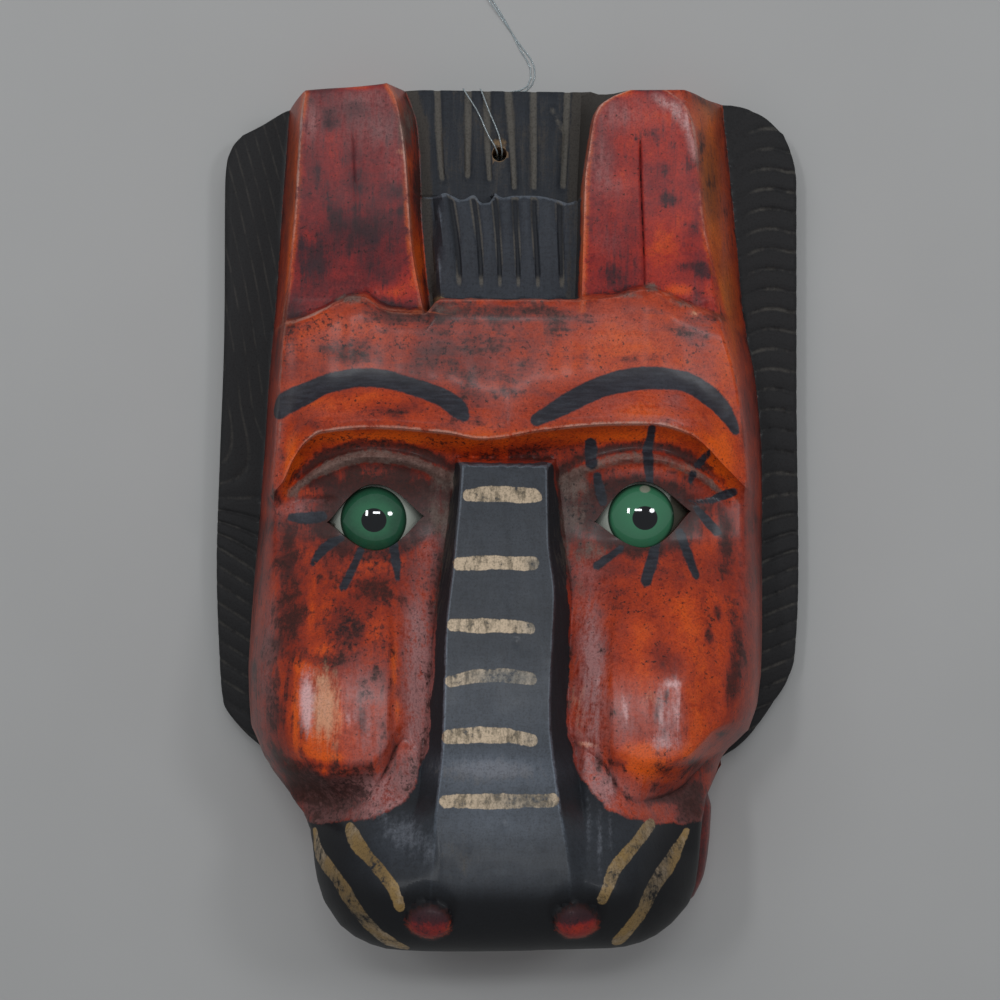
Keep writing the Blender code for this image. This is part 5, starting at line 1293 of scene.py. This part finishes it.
    # Painted shade on the underside of the cheeks where they turn down, darker further down
    turned_under = ease(-85.0, -87.6, y + 0.6 * hand) * ease(-112, -97, y) * ease(-80, -66, x)
    depth = 0.34 + 0.36 * ease(-90, -99, y)
    stain_and_shade = stain_and_shade + depth * turned_under * ease(0, 5, y - cheek_end(x)) * ease(-36, -45, x)
    stain_and_shade = stain_and_shade + mix(0.08, 0.28, x < 0) * near_snout
    # Painted shade in the mouth slot, lighter on the jaw below it
    stain_and_shade = np.where(below_lip, 0.2 + 0.8 * ease(2.42, 2.3, part), stain_and_shade)
    stain_and_shade = stain_and_shade + 1.3 * ease(-2.5, 0, nostril) * ease(-136.0, -129.5, y + 1.2 * hand)
    give(mesh, "stain_and_shade", stain_and_shade)
    matte = np.maximum(matte, 0.9 * turned_under * ease(0, 5, y - cheek_end(x)) * top)
    matte = np.maximum(matte, 0.7 * np.exp(-((brow_drop + 3.0) / 3.0) ** 2) * ease(80, 70, np.abs(x)) * top)
    matte = np.maximum(matte, 0.55 * ease(-104, -114, y) * top)
    matte = np.maximum(matte, 0.65 * under_brow * top)
    give(mesh, "matte", matte)

    # Bloom with painted sheen, painted highlights and scuffs, grime, specks, rubbed patches, dust with
    # painted sheen, and the bare wood behind
    in_band = brushed(x, y, *BAND) + 0.5 * hand
    # Bloom of the varnish, with painted reflection: a pale pinkish veil where the varnish would mirror the
    # light
    bloom_and_reflection = 0.05 + dabs(x, y, BLOOM_AND_REFLECTION) * mix(1.0, 1.35, ease(-25, -45, y)) + 1.0 * ease(-2.0, 1.0, in_band)
    bloom_and_reflection = bloom_and_reflection + mix(0.30, 0.65, x < 0) * near_snout
    give(mesh, "bloom_and_reflection", np.where(top, bloom_and_reflection * (1 - 0.8 * under_brow), 0.05))
    # Painted highlights, and bright scuffs
    highlights_and_scrapes = dabs(x, y, PAINTED_HIGHLIGHTS_AND_SCRAPES) + 0.42 * ease(-0.6, 1.4, in_band)
    give(mesh, "highlights_and_scrapes", np.where(top, highlights_and_scrapes, 0))
    sides = ease(5.2, 2.5, x - wall_left(y)) + ease(4.5, 2.0, wall_right(y) - x) * mix(0.5, 1.0, on_strip)
    grime = dabs(x, y, GRIME) + ridges * np.where(x < 0, 1.0, 0.6 + 0.4 * ease(0.75, 0.2, lid))
    grime = grime + in_lock * (np.clip(sides, 0, 1) + mix(0.06, 0.12, on_strip))
    give(mesh, "grime", np.where(top, grime, 0))
    give(mesh, "specks", np.where(top, 0.1 + dabs(x, y, SPECKS) + 0.35 * under_brow, 0.1))
    give(mesh, "rubbed", np.where(top, dabs(x, y, RUBBED), 0))
    forehead = ease(-1, 1, -over_base) * ease(1, -1, brow_drop) * ease(80, 74, np.abs(x))
    give(mesh, "swept", np.clip(0.8 * forehead, 0, 1))
    on_bridge = ease(-0.5, 0.5, lower_inner) * (y < 14)
    on_muzzle = ease(-96, -106, y)
    # Dust on the black, with painted bluish reflection on the forelock, bridge and muzzle
    dust_and_reflection = in_lock * mix(0.42, 0.27, on_strip) + 0.03 * (y < 14) + 0.12 * in_gap
    dust_and_reflection = dust_and_reflection + 0.36 * on_bridge * ease(-116, -98, y)
    dust_and_reflection = dust_and_reflection + 0.36 * on_muzzle * np.exp(-((x + 2) / 36) ** 2)
    dust_and_reflection = dust_and_reflection + 0.26 * on_bridge * ease(-45, -75, y) * ease(-104, -96, y)
    dust_and_reflection = dust_and_reflection * mix(1, 0.10, ease(-117, -128, y)) * mix(1, 0.25, on_muzzle * ease(42, 54, np.abs(x)))
    dust_and_reflection = dust_and_reflection + dabs(x, y, SNOUT_DUST_AND_REFLECTION)
    give(mesh, "dust_and_reflection", np.where(top, dust_and_reflection * (1 - mane), 0.05))
    cut_out = (part == 0) & (z < BARE_BELOW)
    give(mesh, "bare", (cut_out | (part == 4)).astype(float))
    give(mesh, "shut_in", np.where(cut_out, ease(4, 40, z), 0.0))


def stored(tree, name):
    """The number that `give` stored under that name, at each place of the surface."""
    return node(tree, "ShaderNodeAttribute", attribute_name=name).outputs["Fac"]


def worked_out(operation, *values):
    """Result of a Math node on values that are sockets or plain numbers."""
    return node(tree_of(*values), "ShaderNodeMath", dict(enumerate(values)), operation=operation).outputs[0]


def sum_of(*terms):
    """Terms added up: each is a socket, or a (socket, times, plus) triple."""
    total = None
    for term in terms:
        if isinstance(term, tuple):
            term = worked_out("MULTIPLY_ADD", *term)
        total = term if total is None else worked_out("ADD", total, term)
    return total


def times(a, b):
    """Product of two values."""
    return worked_out("MULTIPLY", a, b)


def larger(a, b):
    """The larger of two values."""
    return worked_out("MAXIMUM", a, b)


def rising(value, low, high):
    """0 below low, 1 above high, and a smooth rise between."""
    made = node(tree_of(value), "ShaderNodeMapRange", {"Value": value, "From Min": low, "From Max": high},
                interpolation_type="SMOOTHSTEP")
    return made.outputs["Result"]


def painted_wood():
    """Oil paint in layers over pale wood: mottled orange red with a rubbed-in dark colour and painted
    shade, black, gold and charcoal over it, worn at the edges, with painted highlights and glints,
    under a thin satin varnish."""
    made, tree, shader = finish_named("painted_wood", Coat_Roughness=0.20)
    where = node(tree, "ShaderNodeTexCoord").outputs["Object"]

    def field(name):
        return stored(tree, name)

    def cloud(scale, detail, rough=0.55, stretch=(1, 1, 1), start=(0, 0, 0), warp=0.0):
        at = node(tree, "ShaderNodeMapping", {"Vector": where, "Scale": stretch, "Location": start})
        return noise(at.outputs[0], scale, detail, Roughness=rough, Distortion=warp)

    def ramp(value, *stops):
        made = node(tree, "ShaderNodeValToRGB", {"Fac": value})
        while len(made.color_ramp.elements) < len(stops):
            made.color_ramp.elements.new(0.5)
        for element, (place, colour) in zip(made.color_ramp.elements, stops):
            element.position = place
            element.color = (*colour, 1)
        return made.outputs["Color"]

    def along(name, half, ragged):
        """1 on the line where the field is 0, falling to 0 at half that width to each side."""
        off = worked_out("ABSOLUTE", sum_of(field(name), ragged))
        return rising(off, half, half * 0.25)

    # Unevenness of many sizes, and that of brush strokes down and across
    broad = cloud(48, 3, 0.55, warp=0.4)
    blotch = cloud(130, 8, 0.66, warp=0.3)
    cloudy = cloud(85, 9, 0.70, start=(3, 1, 2), warp=0.2)
    grit = cloud(700, 4, 0.65)
    fleck = cloud(760, 3, 0.60, start=(1, 5, 2))
    flaws = cloud(300, 6, 0.70, start=(4, 2, 7), warp=0.2)
    down = cloud(480, 5, 0.70, stretch=(1.0, 0.08, 1.0))
    over = cloud(330, 4, 0.65, stretch=(0.10, 1.0, 1.0))
    streak = node(tree, "ShaderNodeMix", {"Factor": field("swept"), "A": down, "B": over}).outputs[0]
    brush = cloud(900, 2, 0.5, stretch=(0.16, 1.0, 1.0))
    rose, stain_and_shade, mane = field("rose"), field("stain_and_shade"), field("mane")

    # Mottled orange red, crimson on the ears and brass brown at their outer sides
    soaked = sum_of(stain_and_shade, (field("crease"), 0.35, 0.0), (cloudy, 1.6, -0.8), (blotch, 1.1, -0.55),
                    (grit, 0.75, -0.375), (streak, 1.5, -0.75))
    mottle = rising(sum_of(grit, (blotch, 0.8, -0.4), (fleck, 0.5, -0.25)), 0.40, 0.60)
    warmth = sum_of(field("warmth"), (broad, 0.45, -0.225), (blotch, 0.75, -0.375), (grit, 0.46, -0.23),
                    (times(streak, sum_of((rose, -0.22, 0.34))), 1.0, -0.14),
                    (rising(soaked, 0.10, 0.90), -0.34, 0.02))
    orange = ramp(warmth, (0.0, (0.030, 0.009, 0.008)), (0.28, (0.110, 0.015, 0.010)),
                  (0.50, (0.300, 0.028, 0.010)), (0.72, (0.560, 0.056, 0.007)), (1.0, (0.880, 0.120, 0.005)))
    crimson = ramp(warmth, (0.0, (0.030, 0.012, 0.016)), (0.28, (0.115, 0.017, 0.022)),
                   (0.50, (0.270, 0.022, 0.022)), (0.72, (0.480, 0.036, 0.020)),
                   (1.0, (0.760, 0.090, 0.012)))
    amber = ramp(warmth, (0.0, (0.030, 0.014, 0.008)), (0.35, (0.130, 0.040, 0.010)),
                 (0.60, (0.340, 0.095, 0.010)), (1.0, (0.640, 0.200, 0.020)))
    red = colour_mix(rose, orange, crimson)
    red = colour_mix(field("amber"), red, amber)

    # Bloom with painted reflection, rubbed-in dark stain with painted shade, and dusty varnish
    rubbed_dull = sum_of((streak, 0.75, -0.1), (cloudy, 0.6, 0.0), (grit, 0.5, -0.25))
    hazed_and_reflecting = times(field("bloom_and_reflection"), rising(rubbed_dull, 0.30, 0.76))
    red = colour_mix(hazed_and_reflecting, red, (0.500, 0.225, 0.215))
    dark = colour_mix(sum_of((rose, 0.6, 0.0), (broad, 0.8, -0.25)),
                      (0.046, 0.013, 0.008), (0.052, 0.025, 0.033))
    red = colour_mix(times(rising(soaked, 0.37, 0.88), sum_of((mottle, 0.42, 0.50))), red, dark)
    film = sum_of(field("grime"), (blotch, 0.9, -0.45), (grit, 0.35, -0.17), (down, 0.7, -0.35))
    dusty = times(rising(film, 0.22, 0.85), rising(field("grime"), 0.02, 0.30))
    dirt = colour_mix(rising(sum_of((blotch, 0.9, 0.0), (streak, 0.5, -0.2), (grit, 0.4, -0.2)), 0.36, 0.62),
                      (0.125, 0.085, 0.072), (0.215, 0.158, 0.134))
    red = colour_mix(times(dusty, 0.88), red, dirt)

    # Black specks, and patches rubbed through to the ground
    density = sum_of((field("specks"), 0.075, -0.02), (broad, 0.06, -0.03))
    dots = rising(sum_of(fleck, density, (grit, 0.16, -0.08)), 0.600, 0.725)
    patch = rising(sum_of(flaws, density, (grit, 0.30, -0.15)), 0.635, 0.780)
    speck = larger(times(dots, 0.80), times(patch, 0.55))
    red = colour_mix(speck, red, (0.016, 0.010, 0.011))
    rub = sum_of(field("rubbed"), (streak, 1.9, -0.95), (grit, 0.5, -0.25), (blotch, 0.8, -0.4))
    rub = times(rising(rub, 0.10, 1.05), rising(field("rubbed"), 0.02, 0.25))
    # Pale tan where the paint is rubbed through, made bright enough to carry part of the painted highlight
    # on the cheek
    red = colour_mix(times(rub, 0.85), red, (0.900, 0.440, 0.255))

    # Worn edges: bright orange beside the carved lines, pale along them as worn paint and painted glints,
    # then painted highlights and scuffs
    ragged = sum_of((grit, 0.8, -0.4), (blotch, 0.8, -0.4))
    thin = larger(along("past_edge", 0.75, ragged), along("past_inner", 0.75, ragged))
    thin = larger(thin, along("off_forehead", 0.95, ragged))
    wide = larger(along("past_edge", 2.3, ragged), along("past_inner", 2.3, ragged))
    wide = larger(wide, along("off_forehead", 2.0, ragged))
    broken = rising(sum_of(blotch, (grit, 0.6, -0.3)), 0.30, 0.58)
    glow = times(times(wide, field("ember")), broken)
    red = colour_mix(times(glow, 0.85), red, (0.740, 0.120, 0.014))
    # Pale lines along the edges and on what stands out: worn paint, and painted glints
    pale = times(times(thin, field("wear_and_glint")), broken)
    on_edge = times(rising(sum_of(field("edge"), ragged), 0.38, 0.92), rising(field("edge"), 0.0, 0.2))
    pale = larger(pale, times(on_edge, 0.14))
    red = colour_mix(times(pale, 0.80), red, (0.700, 0.440, 0.360))
    # Painted highlights on the red, and bright scuffs
    highlight_scrape_mask = rising(sum_of(field("highlights_and_scrapes"), (down, 1.2, -0.6), (grit, 0.8, -0.4)), 0.10, 1.20)
    highlight_scrape_mask = times(highlight_scrape_mask, rising(field("highlights_and_scrapes"), 0.02, 0.25))
    folded = times(along("off_fold", 0.55, ragged), times(field("folded"), broken))
    red = colour_mix(times(folded, 0.9), red, (0.016, 0.006, 0.008))
    red = colour_mix(times(highlight_scrape_mask, 0.85), red, (0.950, 0.570, 0.560))

    # Black, with its dust and painted bluish reflection, gouged mane strokes, scored forelock with painted
    # shade in its slots, and wear with painted glints and highlights
    # Dust, and painted bluish reflection of the black's varnish
    dust_and_reflection = times(field("dust_and_reflection"), sum_of((streak, 0.9, 0.30), (broad, 0.5, 0.0), (brush, 0.4, -0.2)))
    base = colour_mix(mane, (0.0105, 0.0107, 0.0120), (0.0300, 0.0300, 0.0310))
    black = colour_mix(dust_and_reflection, base, (0.105, 0.122, 0.150))
    turns = worked_out("PINGPONG", field("stroke_number"), 0.5)
    cutting = times(rising(turns, 0.15, 0.02), times(mane, field("stroke_shown")))
    shown = rising(sum_of(blotch, (streak, 0.5, -0.25), (broad, 0.5, -0.25)), 0.36, 0.66)
    black = colour_mix(times(times(cutting, shown), 0.80), black, (0.092, 0.086, 0.076))
    scored = rising(sum_of(field("scored"), (grit, 0.5, -0.25), (down, 0.6, -0.3)), 0.15, 0.85)
    black = colour_mix(times(scored, 0.85), black, (0.155, 0.142, 0.122))
    # Painted shade in the block's slots
    black = colour_mix(times(field("slot"), 0.6), black, (0.010, 0.010, 0.011))
    grained = times(rising(sum_of(film, (down, 1.4, -0.7), (grit, 0.5, -0.25)), 0.18, 0.95),
                    rising(field("grime"), 0.02, 0.12))
    black = colour_mix(times(grained, 0.75), black, (0.095, 0.083, 0.070))
    # Pale bluish lines along the black's edges: worn paint, and painted glints
    black = colour_mix(times(on_edge, sum_of((mane, -0.50, 0.60))), black, (0.150, 0.170, 0.200))
    black = colour_mix(times(pale, 0.75), black, (0.230, 0.270, 0.330))
    # Painted highlights and scuffs on the black
    black = colour_mix(times(highlight_scrape_mask, 0.72), black, (0.250, 0.265, 0.305))
    black = colour_mix(times(speck, 0.35), black, (0.004, 0.004, 0.005))
    black = colour_mix(times(rub, 0.9), black, (0.330, 0.220, 0.120))

    # Black laid over the red, then charcoal marks, gold, fine dark flecks and bare wood
    coloured = colour_mix(rising(sum_of(field("black"), ragged), -0.22, 0.22), red, black)
    charcoal = colour_mix(rising(sum_of(brush, (blotch, 0.6, -0.3)), 0.30, 0.80),
                          (0.014, 0.017, 0.024), (0.036, 0.043, 0.056))
    # Painted bluish reflection on the charcoal marks
    charcoal = colour_mix(times(field("bloom_and_reflection"), sum_of((streak, 1.6, -0.3))), charcoal,
                          (0.115, 0.125, 0.155))
    marked = rising(sum_of(field("marks"), ragged), -0.32, 0.42)
    coloured = colour_mix(times(marked, 0.985), coloured, charcoal)
    tarnish = sum_of((blotch, 0.7, 0.0), (down, 1.3, -0.50), (grit, 0.6, -0.3),
                     (field("worn_gold"), -0.30, 0.0))
    gilt = colour_mix(rising(tarnish, 0.28, 0.62), (0.210, 0.165, 0.110), (0.640, 0.495, 0.345))
    brass = times(field("brassy"), rising(sum_of(broad, (blotch, 0.8, -0.4)), 0.30, 0.62))
    gilt = colour_mix(brass, gilt, (0.430, 0.270, 0.095))
    worn = colour_mix(field("brassy"), (0.215, 0.212, 0.200), (0.110, 0.082, 0.056))
    gilt = colour_mix(times(field("worn_gold"), sum_of((down, 1.2, 0.15))), gilt, worn)
    gold_area = rising(sum_of(field("gold"), ragged), -0.20, 0.20)
    gold_left = sum_of(grit, (blotch, 0.9, -0.45), (down, 0.5, -0.25), (field("worn_gold"), -0.22, 0.0))
    gilded = times(gold_area, rising(gold_left, 0.12, 0.40))
    coloured = colour_mix(gilded, coloured, gilt)
    fine = cloud(1500, 2, 0.6, start=(2, 3, 4))
    coloured = colour_mix(times(rising(fine, 0.44, 0.70), 0.30), coloured, (0.012, 0.009, 0.009))

    grain = cloud(110, 4, 0.6, stretch=(1.0, 0.07, 1.0), warp=0.6)
    wood = colour_mix(rising(grain, 0.30, 0.72), (0.235, 0.140, 0.075), (0.420, 0.285, 0.170))
    wood = colour_mix(times(field("shut_in"), 0.55), wood, (0.075, 0.045, 0.028))
    coloured = colour_mix(field("bare"), coloured, wood)
    tree.links.new(coloured, shader.inputs["Base Color"])

    # Gloss of each finish, and the relief of its brush marks
    tree.links.new(times(gilded, 0.25), shader.inputs["Metallic"])
    matte = field("matte")
    rough = sum_of((blotch, 0.06, 0.41), (matte, 0.26, 0.0), (field("bare"), 0.28, 0.0),
                   (hazed_and_reflecting, 0.12, 0.0), (dusty, 0.18, 0.0), (scored, 0.15, 0.0))
    tree.links.new(rough, shader.inputs["Roughness"])
    shine = sum_of((matte, -0.14, 0.32), (field("bare"), -0.10, 0.0), (dusty, -0.10, 0.0),
                   (hazed_and_reflecting, 0.12, 0.0))
    tree.links.new(shine, shader.inputs["Specular IOR Level"])
    coat = times(sum_of((matte, -0.15, 0.16), (field("bare"), -0.14, 0.0)), sum_of((dusty, -0.8, 1.0)))
    tree.links.new(coat, shader.inputs["Coat Weight"])
    heights = sum_of((grit, 0.45, 0.0), (streak, 0.5, 0.0), (gilded, 0.25, 0.0),
                     (marked, 0.2, 0.0), (cutting, -1.4, 0.0), (speck, -0.2, 0.0))
    bump = node(tree, "ShaderNodeBump", {"Height": heights, "Strength": 0.55, "Distance": 0.00022})
    tree.links.new(bump.outputs["Normal"], shader.inputs["Normal"])
    return made


paint_fields(finished)
finished.materials.clear()
finished.materials.append(painted_wood())

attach(carved_mask, "root")
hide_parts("carved_mask")

# ---------------------------------------------------------------------------------------------
# Glass eyes. Each is a solid cap of glass with a flat back, painted green with a dark rim, a
# black pupil and a grey-white ground, and pushed into its pocket from behind.

IRIS = {"left": (-45.44, -7.29), "right": (45.76, -5.13)}
PUPIL = {"left": (-45.1, -7.45), "right": (46.9, -5.45)}
IRIS_RADIUS = 11.3
PUPIL_RADIUS = 4.3
SOFT_EDGE = 0.15


def eye_glass():
    """Painted glass: the colour follows the distance from the middle of the iris and the pupil."""
    made, tree, shader = finish_named("eye_glass", Roughness=0.06, IOR=1.5, Coat_Weight=1.0,
                                      Coat_Roughness=0.02)
    where = node(tree, "ShaderNodeTexCoord").outputs["Object"]
    fleck = noise(where, 1500.0, 3.0)
    soft = noise(where, 220.0, 2.0)
    iris, pupil, spot = (stored(tree, name) for name in ("from_iris", "from_pupil", "pale_spot"))
    green = colour_mix(rising(sum_of(iris, (fleck, 2.0, -1.0), (soft, 5.0, -2.5)), 3.5, 10.5),
                       (0.040, 0.185, 0.092), (0.022, 0.098, 0.052))
    green = colour_mix(stored(tree, "brighter"), green, (0.064, 0.255, 0.132))
    green = colour_mix(rising(iris, IRIS_RADIUS - 1.5, IRIS_RADIUS - 0.1), green, (0.010, 0.034, 0.020))
    ground = colour_mix(rising(iris, IRIS_RADIUS + 0.1, IRIS_RADIUS + 3.7),
                        (0.520, 0.560, 0.490), (0.380, 0.410, 0.360))
    # Painted shade on the white in the outer corners of the eyes
    corner_shade = sum_of(stored(tree, "corner_shade"), (fleck, 0.6, -0.3))
    ground = colour_mix(rising(corner_shade, 0.3, 0.7), ground, (0.085, 0.080, 0.062))
    coloured = colour_mix(rising(iris, IRIS_RADIUS - SOFT_EDGE, IRIS_RADIUS + SOFT_EDGE), green, ground)
    coloured = colour_mix(rising(pupil, PUPIL_RADIUS + SOFT_EDGE, PUPIL_RADIUS - SOFT_EDGE), coloured,
                          (0.002, 0.003, 0.005))
    coloured = colour_mix(rising(spot, -0.15, 0.25), coloured, (0.300, 0.310, 0.235))
    tree.links.new(coloured, shader.inputs["Base Color"])
    return made


glass = eye_glass()
for side, place in EYES.items():
    profile = cap_profile(EYE_RADIUS, BALL, EYE_FRONT, EYE_BACK, 46)
    eye_cap = turned("glass_eye_" + side + "_cap", place, profile, 96)
    eye_cap.data.shade_smooth()
    eye_cap.data.set_sharp_from_angle(angle=math.radians(50))
    x, y, z = point_places(eye_cap.data)
    give(eye_cap.data, "from_iris", np.hypot(x - IRIS[side][0], y - IRIS[side][1]))
    give(eye_cap.data, "from_pupil", np.hypot(x - PUPIL[side][0], (y - PUPIL[side][1]) * 1.06))
    right = float(side == "right")
    give(eye_cap.data, "pale_spot", mix(-6.0, 1.0 - np.hypot((x - 46.9) / 1.9, (y - 4.4) / 1.3), right))
    give(eye_cap.data, "brighter", np.full(x.shape, 0.75 * right))
    # Painted shade on the white in the outer corners
    give(eye_cap.data, "corner_shade", 0.9 * ease(53.0, 57.5, x) + 0.8 * ease(-57.6, -59.2, x) * ease(-7, -10, y))
    eye_cap.data.materials.append(glass)
    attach(eye_cap, "root")
    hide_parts("glass_eye_" + side)

# ---------------------------------------------------------------------------------------------
# Floor and light. A plain pale floor, a wide soft light over the ears, one high over the mask,
# and two small bright ones that the glass eyes mirror.

mesh = bpy.data.meshes.new("floor")
mesh.from_pydata([(-3, -3, 0), (3, -3, 0), (3, 3, 0), (-3, 3, 0)], [], [(0, 1, 2, 3)])
floor = bpy.data.objects.new("floor", mesh)
scene.collection.objects.link(floor)
pale, tree, shader = finish_named("pale_floor", Roughness=0.8)
where = node(tree, "ShaderNodeTexCoord").outputs["Object"]
mottled = colour_mix(noise(where, 9.0, 4.0), (0.50, 0.495, 0.485), (0.56, 0.555, 0.545))
tree.links.new(mottled, shader.inputs["Base Color"])
mesh.materials.append(pale)


def soft_light(name, place, width, height, power, colour, shape="RECTANGLE"):
    """A flat light at that place, in metres, facing the middle of the mask with its upright side
    towards the ears."""
    light = bpy.data.lights.new(name, "AREA")
    light.shape = shape
    light.size = width
    light.size_y = height
    light.energy = power
    light.color = colour
    made = bpy.data.objects.new(name, light)
    made.location = place
    back = (Vector(place) - Vector((0, 0, 0.03))).normalized()
    across = Vector((0, 1, 0)).cross(back).normalized()
    made.rotation_euler = Matrix((across, back.cross(across), back)).transposed().to_euler()
    scene.collection.objects.link(made)
    return made


soft_light("bar_lamp", (0.00, 0.30, 1.30), 0.30, 0.08, 1.7, (0.94, 0.97, 1.0))
soft_light("left_lamp", (-0.42, 0.26, 1.22), 0.09, 0.22, 1.4, (0.96, 0.98, 1.0))
soft_light("right_lamp", (0.58, 0.26, 1.15), 0.22, 0.18, 1.4, (0.94, 0.97, 1.0), "ELLIPSE")
fill = soft_light("wide_fill", (-0.15, 0.75, 1.15), 1.4, 0.9, 4.2, (0.96, 0.98, 1.0))
fill.visible_glossy = False

world = bpy.data.worlds.new("studio")
scene.world = world
world.use_nodes = True
world.node_tree.nodes["Background"].inputs["Color"].default_value = (0.80, 0.83, 0.86, 1)
world.node_tree.nodes["Background"].inputs["Strength"].default_value = 0.25
scene.view_settings.view_transform = "Standard"
